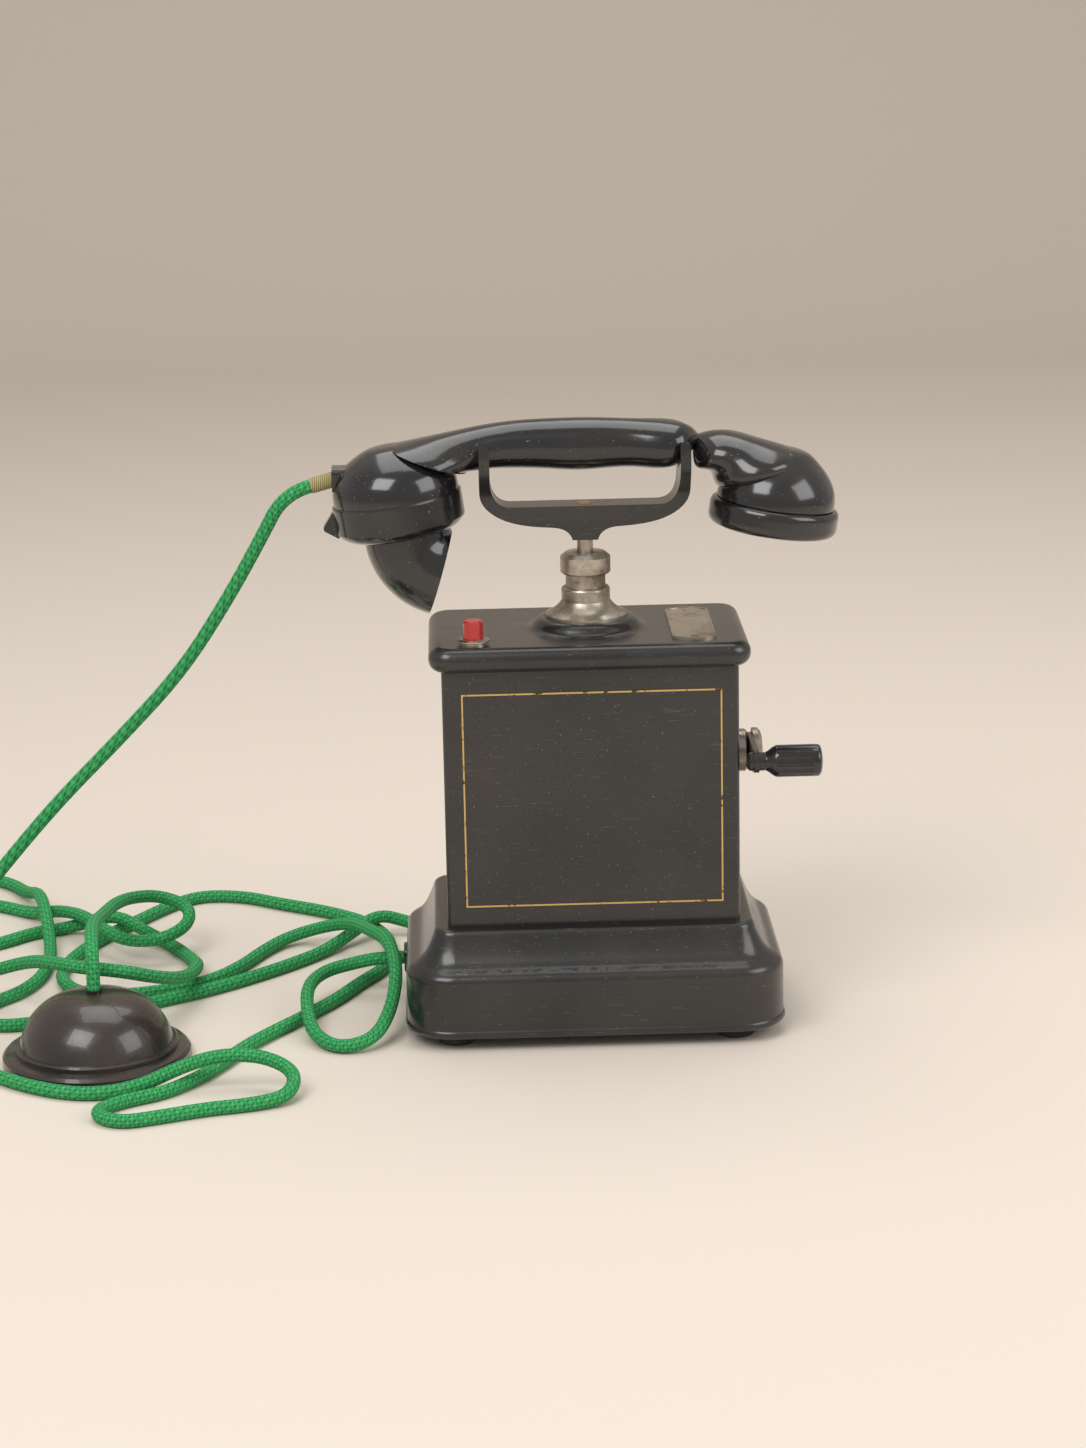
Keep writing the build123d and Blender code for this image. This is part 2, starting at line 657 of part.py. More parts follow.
with BuildPart() as transmitter_collar:
    with BuildSketch(cap_plane(*mouth)):
        with BuildLine():
            rim = (collar_out_r, collar_band)
            low = (collar_low_r, collar_deep)
            Polyline((collar_bore_r, 0), (collar_out_r - 0.8, 0), (collar_out_r, 0.8), rim)
            ThreePointArc(rim, (collar_out_r - 2.6, collar_band + 3.2), low)
            Polyline(low, (0, collar_deep), (0, collar_floor), (collar_bore_r, collar_floor), (collar_bore_r, 0))
        make_face()
    revolve(axis=cap_axis(*mouth))
    with BuildSketch(cap_plane(*mouth).offset(-lug_half)):
        with BuildLine():
            Polyline((-collar_out_r + 1, 1.5), (-collar_out_r, 2.5), (-lug_tip, 8.6))
            ThreePointArc((-lug_tip, 8.6), (-lug_tip - 0.6, 10.0), (-lug_tip, 11.4))
            Polyline((-lug_tip, 11.4), (-collar_out_r + 1, 16.0), (-collar_out_r + 3, 12.0), (-collar_out_r + 1, 1.5))
        make_face()
    extrude(amount=2 * lug_half)
    revolve(
        profile(
            cap_plane(*mouth),
            (horn_off, collar_floor - 1),
            (horn_off + horn_r + slip / 2, collar_floor - 1),
            (horn_off + horn_r + slip / 2, collar_deep + 1),
            (horn_off, collar_deep + 1),
        ),
        cap_axis(*mouth, off=horn_off),
        mode=Mode.SUBTRACT,
    )
save(transmitter_collar, "transmitter_collar")

with BuildPart() as mouthpiece_horn:
    t = radians(mouth_tilt)
    down = (sin(t), 0, -cos(t))
    with BuildSketch(Plane(cap_point(*mouth, horn_off, horn_start), x_dir=(0, 1, 0), z_dir=down)) as ring:
        Circle(horn_r)
        Circle(horn_r - horn_wall, mode=Mode.SUBTRACT)
    extrude(ring.sketch, amount=-(horn_start - collar_floor))
    hinge = cap_point(*mouth, horn_off + horn_bend_r, horn_start)
    revolve(ring.sketch, axis=Axis(hinge, (0, -1, 0)), revolution_arc=horn_sweep)
    revolve(
        profile(
            cap_plane(*mouth),
            (horn_off + horn_r - horn_wall, collar_floor - horn_flange),
            (horn_off + horn_flange_r, collar_floor - horn_flange),
            (horn_off + horn_flange_r, collar_floor),
            (horn_off + horn_r - horn_wall, collar_floor),
        ),
        cap_axis(*mouth, off=horn_off),
    )
save(mouthpiece_horn, "mouthpiece_horn")

with BuildPart() as transmitter_capsule:
    capsule_low = collar_floor - horn_flange - slip
    revolve(
        profile(
            cap_plane(*mouth),
            (0, -mouth_pocket + slip),
            (mouth_pocket_r - 2.0, -mouth_pocket + slip),
            (mouth_pocket_r - slip, -mouth_pocket + 2.0 + slip),
            (mouth_pocket_r - slip, capsule_low - 1.5),
            (mouth_pocket_r - 3.0, capsule_low),
            (0, capsule_low),
        ),
        cap_axis(*mouth),
    )
save(transmitter_capsule, "transmitter_capsule")

with BuildPart() as receiver_capsule:
    revolve(
        profile(
            cap_plane(*ear),
            (0, -ear_pocket + slip),
            (ear_pocket_r - 2.0, -ear_pocket + slip),
            (ear_pocket_r - slip, -ear_pocket + 2.0 + slip),
            (ear_pocket_r - slip, spigot_h - 1.0),
            (ear_pocket_r - 3.0, spigot_h - 1.0),
            (ear_pocket_r - 3.0, spigot_h - 2.5),
            (0, spigot_h - 2.5),
        ),
        cap_axis(*ear),
    )
    revolve(
        profile(
            cap_plane(*ear),
            (0, spigot_h),
            (spigot_r, spigot_h),
            (spigot_r, spigot_h + diaphragm_t),
            (0, spigot_h + diaphragm_t),
        ),
        cap_axis(*ear),
    )
save(receiver_capsule, "receiver_capsule")

with BuildPart() as ear_cap:
    seat = spigot_h + diaphragm_t
    with BuildSketch(cap_plane(*ear)):
        with BuildLine():
            thread_r = spigot_r + 0.2
            Polyline(
                (0, seat + 5.0),
                (0, seat + 2.4),
                (spigot_r - 3.5, seat + 1.2),
                (spigot_r - 3.5, seat),
                (thread_r, seat),
                (thread_r, cap_gap),
                (cap_r - 3.2, cap_gap),
            )
            Spline((cap_r - 3.2, cap_gap), (cap_r, cap_gap + 4.5), tangents=((1, 0), (0, 1)))
            Line((cap_r, cap_gap + 4.5), (cap_r, cap_deep - 5.0))
            Spline((cap_r, cap_deep - 5.0), (cap_r - 5.5, cap_deep), tangents=((0, 1), (-1, 0)))
            Spline((cap_r - 5.5, cap_deep), (0, seat + 5.0), tangents=((-1, -0.1), (-1, 0)))
        make_face()
    revolve(axis=cap_axis(*ear))
    t = radians(ear_tilt)
    with BuildSketch(Plane(cap_point(*ear, 0, seat), x_dir=(0, 1, 0), z_dir=(sin(t), 0, -cos(t)))):
        Circle(ear_hole_r)
        with PolarLocations(ear_hole_ring, ear_holes):
            Circle(ear_hole_r)
    extrude(amount=cap_deep, mode=Mode.SUBTRACT)
save(ear_cap, "ear_cap")

with BuildPart() as handset_whipping:
    lean = radians(whip_dip)
    exit_z = cord_boss_z - 0.3
    whip_dir = (-cos(lean), 0, -sin(lean))
    with BuildSketch(Plane((boss_left + 0.6, 0, exit_z), x_dir=(0, 1, 0), z_dir=whip_dir)):
        Circle(whip_r)
    extrude(amount=whip_len + 0.6)
    split_plane = Plane((boss_left, 0, 0), z_dir=(-1, 0, 0))
    split(bisect_by=split_plane, keep=Keep.TOP)
save(handset_whipping, "handset_whipping")

# ---------------------------------------------------------------- cradle fork and its shaft
with BuildPart() as cradle_fork:
    with BuildSketch(upright(0, fork_half_y)):
        with BuildLine():
            outer = fork_x + prong_w / 2
            inner = fork_x - prong_w / 2
            Polyline((0, fork_boss_low), (fork_boss_r, fork_boss_low))
            Spline(
                (fork_boss_r, fork_boss_low), (17.0, fork_bar_low), tangents=((0.25, 1), (1, 0.05))
            )
            Spline((17.0, fork_bar_low), (33.0, fork_bar_low + 1.9), tangents=((1, 0.05), (1, 0.22)))
            Spline(
                (33.0, fork_bar_low + 1.9),
                (fork_x - 2.0, fork_bar_low + 8.8),
                (outer, fork_bar_low + 19.0),
                tangents=((1, 0.22), (0, 1)),
            )
            Line((outer, fork_bar_low + 19.0), (outer, prong_top - 1.8))
            ThreePointArc((outer, prong_top - 1.8), (fork_x + 0.8, prong_top), (inner, prong_top - 1.8))
            Line((inner, prong_top - 1.8), (inner, fork_bar_top + 14.0))
            Spline(
                (inner, fork_bar_top + 14.0), (36.0, fork_bar_top), tangents=((-0.05, -1), (-1, 0))
            )
            Line((36.0, fork_bar_top), (0, fork_bar_top))
            Line((0, fork_bar_top), (0, fork_boss_low))
        make_face()
        mirror(about=Plane.YZ)
    extrude(amount=2 * fork_half_y)
    with BuildSketch(sideways(-2 * fork_x)):
        with BuildLine():
            Polyline(
                (0, fork_boss_low - 1),
                (fork_bar_y, fork_boss_low - 1),
                (fork_bar_y, fork_bar_low + 3.0),
                (fork_bar_y + 1.5, fork_bar_top + 2.0),
            )
            Spline(
                (fork_bar_y + 1.5, fork_bar_top + 2.0),
                (fork_half_y - 0.5, fork_bar_top + 19.0),
                tangents=((0.2, 1), (0.45, 1)),
            )
            Polyline(
                (fork_half_y - 0.5, fork_bar_top + 19.0),
                (fork_half_y, prong_top - 6.0),
                (fork_half_y - 1.5, prong_top + 1),
                (0, prong_top + 1),
                (0, fork_boss_low - 1),
            )
        make_face()
        mirror(about=Plane.YZ)
    extrude(amount=4 * fork_x, mode=Mode.INTERSECT)
    for side in (-1, 1):
        low_z, high_z, half_w = grip_at(side * (fork_x + prong_w / 2))
        mid_z, tall = (low_z + high_z) / 2, (high_z - low_z) / 2
        with BuildSketch(sideways(side * fork_x - prong_w)):
            with Locations((0, mid_z)):
                Ellipse(half_w + grip_clear, tall + grip_clear)
            with Locations((0, mid_z + tall)):
                Rectangle(2 * (half_w + grip_clear), 2 * tall)
        extrude(amount=2 * prong_w, mode=Mode.SUBTRACT)
    with BuildSketch(Plane.XY.offset(fork_boss_low)):
        Circle(shaft_r)
    extrude(amount=fork_bar_top - fork_boss_low - 1.6, mode=Mode.SUBTRACT)
    with BuildSketch(Plane.XY.offset(fork_bar_top)):
        Circle(shaft_r)
    extrude(amount=-1.6, mode=Mode.SUBTRACT)
save(cradle_fork, "cradle_fork")

stop_top = tube_low - cradle_lift
spring_top = stop_top - stop_h
spring_low = spring_top - spring_len
bracket_top = spring_low
shaft_low = bracket_top - bracket_t - 3.0
with BuildPart() as cradle_shaft:
    shaft_top = fork_bar_top - 1.6
    revolve(
        profile(
            upright(),
            (0, shaft_low),
            (shaft_r - 1.0, shaft_low),
            (shaft_r, shaft_low + 1.0),
            (shaft_r, spring_top),
            (stop_r, spring_top),
            (stop_r, stop_top),
            (shaft_r, stop_top),
            (shaft_r, shaft_top),
            (fork_screw_r, shaft_top),
            (fork_screw_r, shaft_top - fork_screw_len),
            (0, shaft_top - fork_screw_len),
        ),
        axis=Axis.Z,
    )
save(cradle_shaft, "cradle_shaft")

with BuildPart() as fork_screw:
    revolve(
        profile(
            upright(),
            (0, shaft_top - fork_screw_len + slip),
            (fork_screw_r, shaft_top - fork_screw_len + slip),
            (fork_screw_r, shaft_top),
            (shaft_r, shaft_top),
            (shaft_r, fork_bar_top + 0.2),
            (0, fork_bar_top + 0.2),
        ),
        axis=Axis.Z,
    )
    with BuildSketch(Plane.XY.offset(fork_bar_top + 0.2)):
        Rectangle(2 * shaft_r, 1.0)
    extrude(amount=-0.8, mode=Mode.SUBTRACT)
save(fork_screw, "fork_screw")

with BuildPart() as cradle_spring:
    with BuildSketch(Plane.XY.offset(spring_low)):
        Circle(spring_r)
        Circle(spring_r - spring_wire, mode=Mode.SUBTRACT)
    extrude(amount=spring_len)
save(cradle_spring, "cradle_spring")

# ---------------------------------------------------------------- switch under the lid
stack_left, stack_right = shaft_r - leaf_len, shaft_r - leaf_len + stack_w
flange_top = lid_under - slip
bspring_top = flange_top - button_flange
bspring_low = bspring_top - button_spring_len
with BuildPart() as lid_brackets:
    with BuildSketch(Plane.XY.offset(bracket_top)):
        with Locations(((stack_left + spring_r + 2.0) / 2, 0)):
            Rectangle(spring_r + 2.0 - stack_left, 2 * bracket_y)
        Circle(shaft_r + slip, mode=Mode.SUBTRACT)
    extrude(amount=-bracket_t)
    for side in (-1, 1):
        with BuildSketch(Plane.XY.offset(bracket_top)):
            with Locations((0, side * (bracket_y - bracket_t / 2))):
                Rectangle(2 * (spring_r + 2.0), bracket_t)
        extrude(amount=lid_under - bracket_top)
        with BuildSketch(Plane.XY.offset(lid_under)):
            with Locations((0, side * (bracket_y + 3.0))):
                Rectangle(2 * (spring_r + 2.0), 8.0)
        extrude(amount=-bracket_t)
    reach = button_flange_r + 1.0
    with BuildSketch(upright(button_x, button_y + reach / 2)):
        with BuildLine():
            Polyline(
                (-reach - sheet - 3.5, lid_under),
                (-reach, lid_under),
                (-reach, bspring_low),
                (reach, bspring_low),
                (reach, lid_under),
                (reach + sheet + 3.5, lid_under),
                (reach + sheet + 3.5, lid_under - sheet),
                (reach + sheet, lid_under - sheet),
                (reach + sheet, bspring_low - sheet),
                (-reach - sheet, bspring_low - sheet),
                (-reach - sheet, lid_under - sheet),
                (-reach - sheet - 3.5, lid_under - sheet),
                close=True,
            )
        make_face()
    extrude(amount=reach)
save(lid_brackets, "lid_brackets")

stack_top = bracket_top - bracket_t
leaf_top = shaft_low - slip
with BuildPart() as switch_springs:
    with BuildSketch(Plane.XY.offset(leaf_top)):
        with Locations(((stack_left + shaft_r) / 2, 0)):
            Rectangle(leaf_len, leaf_w)
    extrude(amount=-leaf_t)
    for row in (1, 2):
        with BuildSketch(Plane.XY.offset(leaf_top - row * leaf_gap)):
            with Locations(((stack_left + shaft_r) / 2 - row * 2.0, 0)):
                Rectangle(leaf_len - row * 4.0, leaf_w)
        extrude(amount=-leaf_t)
    with BuildSketch(Plane.XY.offset(stack_top)):
        with Locations(((stack_left + stack_right) / 2, 0)):
            Rectangle(stack_w, 2 * leaf_w)
    extrude(amount=-(stack_top - leaf_top + 2 * leaf_gap + 3.0))
save(switch_springs, "switch_springs")

# ---------------------------------------------------------------- push button
with BuildPart() as button_ring:
    revolve(
        profile(
            upright(button_x, button_y, lid_top),
            (button_r + slip, 0),
            (button_ring_low_r, 0),
            (button_ring_low_r, button_ring_h - 1.8),
            (button_ring_low_r - 0.4, button_ring_h - 1.5),
            (button_ring_r, button_ring_h - 1.2),
            (button_ring_r, button_ring_h - 0.6),
            (button_ring_r - 1.6, button_ring_h),
            (button_r + slip, button_ring_h),
        ),
        axis=Axis((button_x, button_y, 0), (0, 0, 1)),
    )
save(button_ring, "button_ring")

with BuildPart() as red_button:
    revolve(
        profile(
            upright(button_x, button_y),
            (0, flange_top - button_flange),
            (button_flange_r, flange_top - button_flange),
            (button_flange_r, flange_top),
            (button_r, flange_top),
            (button_r, lid_top + button_ring_h + button_h - 0.8),
            (button_r - 0.8, lid_top + button_ring_h + button_h),
            (0, lid_top + button_ring_h + button_h),
        ),
        axis=Axis((button_x, button_y, 0), (0, 0, 1)),
    )
save(red_button, "red_button")

with BuildPart() as button_spring:
    with BuildSketch(Plane.XY.offset(bspring_low)):
        with Locations((button_x, button_y)):
            Circle(button_r)
            Circle(button_r - 1.0, mode=Mode.SUBTRACT)
    extrude(amount=button_spring_len)
save(button_spring, "button_spring")


# ---------------------------------------------------------------- magneto generator
armature_z = crank_z - gear_module * (drive_teeth + pinion_teeth) / 2
magneto_x1 = magneto_x + magneto_len
running = 0.06


def on_x(y, z):
    """The line along X through a place on the right side."""
    return Axis((0, y, z), (1, 0, 0))


def gear_face_shape(teeth, first, x, y, z):
    """A spur wheel's outline, its first tooth at an angle from +Y."""
    pitch = gear_module * teeth / 2
    root, tip = pitch - dedendum, pitch + addendum
    with BuildSketch(sideways(x, y, z)) as shape:
        Circle(root)
        with PolarLocations(0, teeth, start_angle=first):
            with BuildLine():
                Polyline((root - 0.4, -0.85), (pitch, -0.52), (tip, -0.28), (tip, 0.28), (pitch, 0.52),
                         (root - 0.4, 0.85), close=True)
            make_face()
    return shape.sketch


with BuildPart() as magneto_end_plates:
    for x0, foot_x in ((magneto_x, magneto_x - end_foot), (magneto_x1 - end_plate, magneto_x1)):
        with BuildSketch(sideways(x0, 0, chassis_top + end_plate_h / 2)):
            RectangleRounded(2 * magneto_y, end_plate_h, 4.0)
            with Locations((crank_y, crank_z - chassis_top - end_plate_h / 2)):
                Circle(crank_shaft_r + running, mode=Mode.SUBTRACT)
            with Locations((crank_y, armature_z - chassis_top - end_plate_h / 2)):
                Circle(armature_shaft_r + running, mode=Mode.SUBTRACT)
        extrude(amount=end_plate)
        with BuildSketch(sideways(foot_x, 0, chassis_top + end_plate / 2)):
            Rectangle(2 * magneto_y - 8.0, end_plate)
        extrude(amount=end_foot)
save(magneto_end_plates, "magneto_end_plates")

with BuildPart() as pole_shoes:
    with BuildSketch(sideways(magneto_x + end_plate, 0, armature_z)):
        for side in (-1, 1):
            with Locations((side * (pole_out / 2 + 3.0), 0)):
                Rectangle(pole_out - 6.0, 2 * pole_half_h)
        Circle(armature_r + armature_gap, mode=Mode.SUBTRACT)
    extrude(amount=magneto_len - 2 * end_plate)
save(pole_shoes, "pole_shoes")

with BuildPart() as magnets:
    magnet_gap = (magneto_len - 2 * end_plate - magnet_count * magnet_w) / (magnet_count + 1)
    for row in range(magnet_count):
        start = magneto_x + end_plate + magnet_gap + row * (magnet_w + magnet_gap)
        with BuildSketch(sideways(start)):
            with Locations((0, magnet_arch)):
                Circle(pole_out + magnet_t)
            with Locations((0, (magnet_low + magnet_arch) / 2)):
                Rectangle(2 * (pole_out + magnet_t), magnet_arch - magnet_low)
            with Locations((0, magnet_arch)):
                Circle(pole_out, mode=Mode.SUBTRACT)
            with Locations((0, (magnet_low + magnet_arch) / 2)):
                Rectangle(2 * pole_out, magnet_arch - magnet_low, mode=Mode.SUBTRACT)
            with Locations((0, magnet_low - magnet_arch)):
                Rectangle(6 * pole_out, 2 * magnet_arch, mode=Mode.SUBTRACT)
        extrude(amount=magnet_w)
save(magnets, "magnets")

with BuildPart() as armature:
    core_x0 = magneto_x + end_plate + armature_end
    core_len = magneto_len - 2 * (end_plate + armature_end)
    with BuildSketch(sideways(core_x0, 0, armature_z)):
        Circle(armature_r)
        for side in (-1, 1):
            with Locations((0, side * (slot_floor + armature_r / 2))):
                Rectangle(2 * slot_half, armature_r, mode=Mode.SUBTRACT)
    extrude(amount=core_len)
    with BuildSketch(sideways(magneto_x - 1.0, 0, armature_z)):
        Circle(armature_shaft_r)
    extrude(amount=magneto_len + 1.0 + gear_gap + gear_face)
save(armature, "armature")

with BuildPart() as armature_winding:
    with BuildSketch(sideways(core_x0, 0, armature_z)):
        for side in (-1, 1):
            with Locations((0, side * (slot_floor + armature_r / 2))):
                Rectangle(2 * slot_half, armature_r)
        Circle(armature_r - 1.5, mode=Mode.INTERSECT)
    extrude(amount=core_len)
save(armature_winding, "armature_winding")

gear_x = magneto_x1 + gear_gap
with BuildPart() as pinion:
    extrude(gear_face_shape(pinion_teeth, 90 + 180 / pinion_teeth, gear_x, 0, armature_z), amount=gear_face)
    with BuildSketch(sideways(gear_x, 0, armature_z)):
        Circle(armature_shaft_r)
    extrude(amount=gear_face, mode=Mode.SUBTRACT)
save(pinion, "pinion")

with BuildPart() as drive_gear:
    extrude(gear_face_shape(drive_teeth, -90, gear_x, crank_y, crank_z), amount=gear_face)
    with BuildSketch(sideways(gear_x, crank_y, crank_z)):
        Circle(crank_shaft_r + 4.0)
    extrude(amount=gear_face + 3.0)
    with BuildSketch(sideways(gear_x, crank_y, crank_z)):
        Circle(crank_shaft_r)
        with PolarLocations(14.5, 5):
            Circle(5.5)
    extrude(amount=gear_face + 3.0, mode=Mode.SUBTRACT)
save(drive_gear, "drive_gear")

arm_x = case_x + bearing_w + arm_gap
hub_x = arm_x + arm_t
with BuildPart() as crank_shaft:
    revolve(
        profile(
            upright(0, crank_y, crank_z),
            (magneto_x - 4.0, 0),
            (magneto_x - 4.0, crank_shaft_r + 2.5),
            (magneto_x - 0.5, crank_shaft_r + 2.5),
            (magneto_x - 0.5, crank_shaft_r),
            (hub_x, crank_shaft_r),
            (hub_x, 0),
        ),
        axis=on_x(crank_y, crank_z),
    )
save(crank_shaft, "crank_shaft")

with BuildPart() as crank_bearing:
    neck_end = case_x - sheet - bearing_nut_h - 0.5
    revolve(
        profile(
            upright(0, crank_y, crank_z),
            (neck_end, crank_shaft_r + running),
            (neck_end, bearing_neck_r),
            (case_x, bearing_neck_r),
            (case_x, bearing_r - 0.4),
            (case_x + 0.6, bearing_r),
            (case_x + bearing_w - 1.0, bearing_r),
            (case_x + bearing_w, bearing_r - 1.0),
            (case_x + bearing_w, crank_shaft_r + running),
        ),
        axis=on_x(crank_y, crank_z),
    )
save(crank_bearing, "crank_bearing")

with BuildPart() as panel_nuts:
    with BuildSketch(sideways(case_x - sheet, crank_y, crank_z)):
        RegularPolygon(bearing_nut_r, 6)
        Circle(bearing_neck_r, mode=Mode.SUBTRACT)
    extrude(amount=-bearing_nut_h)
    with BuildSketch(Plane.XY.offset(lid_under)):
        RegularPolygon(tube_nut_r, 6)
        Circle(tube_r, mode=Mode.SUBTRACT)
    extrude(amount=-tube_nut)
save(panel_nuts, "panel_nuts")

dip = radians(crank_dip)
pin_y, pin_z = crank_y - crank_throw * cos(dip), crank_z + crank_throw * sin(dip)
with BuildPart() as crank_arm:
    with BuildSketch(sideways(arm_x)):
        with Locations((crank_y, crank_z)):
            Circle(arm_r)
        with Locations((pin_y, pin_z)):
            Circle(arm_end_r)
        make_hull()
        with Locations((crank_y, crank_z)):
            Circle(crank_shaft_r, mode=Mode.SUBTRACT)
        with Locations((pin_y, pin_z)):
            Circle(grip_pin_r, mode=Mode.SUBTRACT)
    extrude(amount=arm_t)
save(crank_arm, "crank_arm")

with BuildPart() as crank_hub:
    revolve(
        profile(
            upright(0, crank_y, crank_z),
            (hub_x, 0),
            (hub_x, hub_r),
            (hub_x + hub_w - 2.2, hub_r),
            (hub_x + hub_w - 0.6, hub_r - 1.8),
            (hub_x + hub_w, hub_r - 3.6),
            (hub_x + hub_w, 0),
        ),
        axis=on_x(crank_y, crank_z),
    )
save(crank_hub, "crank_hub")

grip_x = hub_x + pin_neck_w
with BuildPart() as crank_pin:
    pin_end = grip_x + grip_cone + grip_len - 5.0
    revolve(
        profile(
            upright(0, pin_y, pin_z),
            (arm_x - pin_boss_w, 0),
            (arm_x - pin_boss_w, pin_boss_r - 1.2),
            (arm_x - pin_boss_w + 1.2, pin_boss_r),
            (arm_x, pin_boss_r),
            (arm_x, grip_pin_r),
            (hub_x, grip_pin_r),
            (hub_x, pin_boss_r),
            (grip_x - slip, pin_boss_r),
            (grip_x - slip, grip_pin_r),
            (pin_end, grip_pin_r),
            (pin_end, 0),
        ),
        axis=on_x(pin_y, pin_z),
    )
save(crank_pin, "crank_pin")

with BuildPart() as crank_grip:
    grip_x1 = grip_x + grip_cone
    grip_x2 = grip_x1 + grip_len
    bore_end = pin_end + slip
    with BuildSketch(upright(0, pin_y, pin_z)):
        with BuildLine():
            Line((grip_x, grip_pin_r + running), (grip_x, pin_boss_r))
            Spline((grip_x, pin_boss_r), (grip_x1, grip_r), tangents=((1, 0.35), (1, 0.15)))
            Line((grip_x1, grip_r), (grip_x2 - 3.0, grip_r))
            Spline((grip_x2 - 3.0, grip_r), (grip_x2, grip_r - 4.5), tangents=((1, 0), (0.25, -1)))
            Polyline(
                (grip_x2, grip_r - 4.5),
                (grip_x2, 0),
                (bore_end, 0),
                (bore_end, grip_pin_r + running),
                (grip_x, grip_pin_r + running),
            )
        make_face()
    revolve(axis=on_x(pin_y, pin_z))
    with BuildSketch(sideways(grip_x1 - 1.0, pin_y, pin_z)):
        with PolarLocations(grip_r + flute_r * 0.45, flutes):
            Circle(flute_r)
    extrude(amount=grip_len - 4.0, mode=Mode.SUBTRACT)
save(crank_grip, "crank_grip")

# ---------------------------------------------------------------- speech circuit on the chassis
with BuildPart() as induction_coil:
    cheek_z = chassis_top + ind_r + 1.0
    for x0 in (ind_x - ind_len / 2, ind_x + ind_len / 2 - ind_cheek):
        with BuildSketch(sideways(x0, ind_y, cheek_z)):
            Rectangle(2 * ind_r + 2.0, 2 * ind_r + 2.0)
        extrude(amount=ind_cheek)
    with BuildSketch(sideways(ind_x - ind_len / 2, ind_y, cheek_z)):
        Circle(ind_r)
    extrude(amount=ind_len)
    with BuildSketch(sideways(ind_x - ind_len / 2 - 2.0, ind_y, cheek_z)):
        Circle(ind_core_r)
    extrude(amount=ind_len + 4.0)
save(induction_coil, "induction_coil")

with BuildPart() as capacitor:
    with BuildSketch(Plane.XY.offset(chassis_top)):
        with Locations((cap_x, cap_y)):
            RectangleRounded(cap_w, cap_depth, 3.0)
    extrude(amount=cap_h)
    with BuildSketch(Plane.XY.offset(chassis_top + cap_h)):
        with Locations((cap_x - cap_w / 4, cap_y), (cap_x + cap_w / 4, cap_y)):
            Rectangle(5.0, 0.8)
    extrude(amount=6.0)
save(capacitor, "capacitor")

with BuildPart() as terminal_strip:
    with BuildSketch(Plane.XY.offset(chassis_top)):
        with Locations((strip_x, strip_y)):
            Rectangle(strip_w, strip_d)
    extrude(amount=strip_h)
    with BuildSketch(Plane.XY.offset(chassis_top + strip_h)):
        with Locations((strip_x, strip_y)):
            with GridLocations(strip_w / 5, strip_d / 2, 5, 2):
                Circle(2.0)
    extrude(amount=2.5)
save(terminal_strip, "terminal_strip")

# ---------------------------------------------------------------- ringer in the plinth
with BuildPart() as ringer_frame:
    with BuildSketch(Plane.XY.offset(floor_top)):
        with Locations((0, (ringer_y - 4.0 + ringer_back) / 2)):
            Rectangle(2 * ringer_half, ringer_back - ringer_y + 4.0)
    extrude(amount=ringer_iron)
    with BuildSketch(upright(0, ringer_back)):
        with Locations((0, (floor_top + ringer_top) / 2)):
            Rectangle(2 * ringer_half, ringer_top - floor_top)
    extrude(amount=ringer_iron)
    with BuildSketch(Plane.XY.offset(ringer_top)):
        with Locations((0, (ringer_y - 4.0 + ringer_back) / 2)):
            Rectangle(10.0, ringer_back - ringer_y + 4.0)
    extrude(amount=-ringer_iron)
    with BuildSketch(Plane.XY.offset(floor_top)):
        with Locations((0, ringer_y)):
            Circle(ringer_pin_r)
    extrude(amount=ringer_top - floor_top)
save(ringer_frame, "ringer_frame")

coil_back = ringer_back - ringer_iron
coil_front = ringer_y + bar_t / 2 + 1.8
with BuildPart() as ringer_coils:
    for side in (-1, 1):
        with BuildSketch(upright(side * coil_x, coil_back, coil_z)):
            Circle(coil_core_r)
        extrude(amount=coil_back - coil_front)
        with BuildSketch(upright(side * coil_x, coil_back, coil_z)):
            Circle(coil_r)
        extrude(amount=coil_cheek)
        with BuildSketch(upright(side * coil_x, coil_back - coil_cheek, coil_z)):
            Circle(coil_r - 1.0)
        extrude(amount=coil_back - coil_front - 2 * coil_cheek - 1.0)
        with BuildSketch(upright(side * coil_x, coil_front + 1.0 + coil_cheek, coil_z)):
            Circle(coil_r)
        extrude(amount=coil_cheek)
save(ringer_coils, "ringer_coils")

with BuildPart() as clapper:
    with BuildSketch(Plane.XY.offset(coil_z - bar_h / 2)):
        with Locations((0, ringer_y)):
            Rectangle(2 * coil_x + 12.0, bar_t)
            Circle(ringer_pin_r + 1.6)
            Circle(ringer_pin_r + running, mode=Mode.SUBTRACT)
    extrude(amount=bar_h)
    with BuildSketch(upright(0, ringer_y - ringer_pin_r - 1.2, coil_z)):
        Circle(rod_r)
    extrude(amount=ringer_y - ringer_pin_r - 1.2 - gong_y)
    with Locations((0, gong_y, coil_z)):
        Sphere(ball_r)
save(clapper, "clapper")

with BuildPart() as gong_posts:
    with BuildSketch(Plane.XY.offset(floor_top)):
        with Locations((-gong_x, gong_y), (gong_x, gong_y)):
            Circle(gong_post_r)
    extrude(amount=gong_rim_z + gong_h - gong_wall - floor_top)
    with BuildSketch(Plane.XY.offset(gong_rim_z + gong_h - gong_wall)):
        with Locations((-gong_x, gong_y), (gong_x, gong_y)):
            Circle(gong_screw_r)
    extrude(amount=gong_wall)
    with BuildSketch(Plane.XY.offset(gong_rim_z + gong_h)):
        with Locations((-gong_x, gong_y), (gong_x, gong_y)):
            Circle(gong_post_r - 0.8)
    extrude(amount=2.0)
save(gong_posts, "gong_posts")

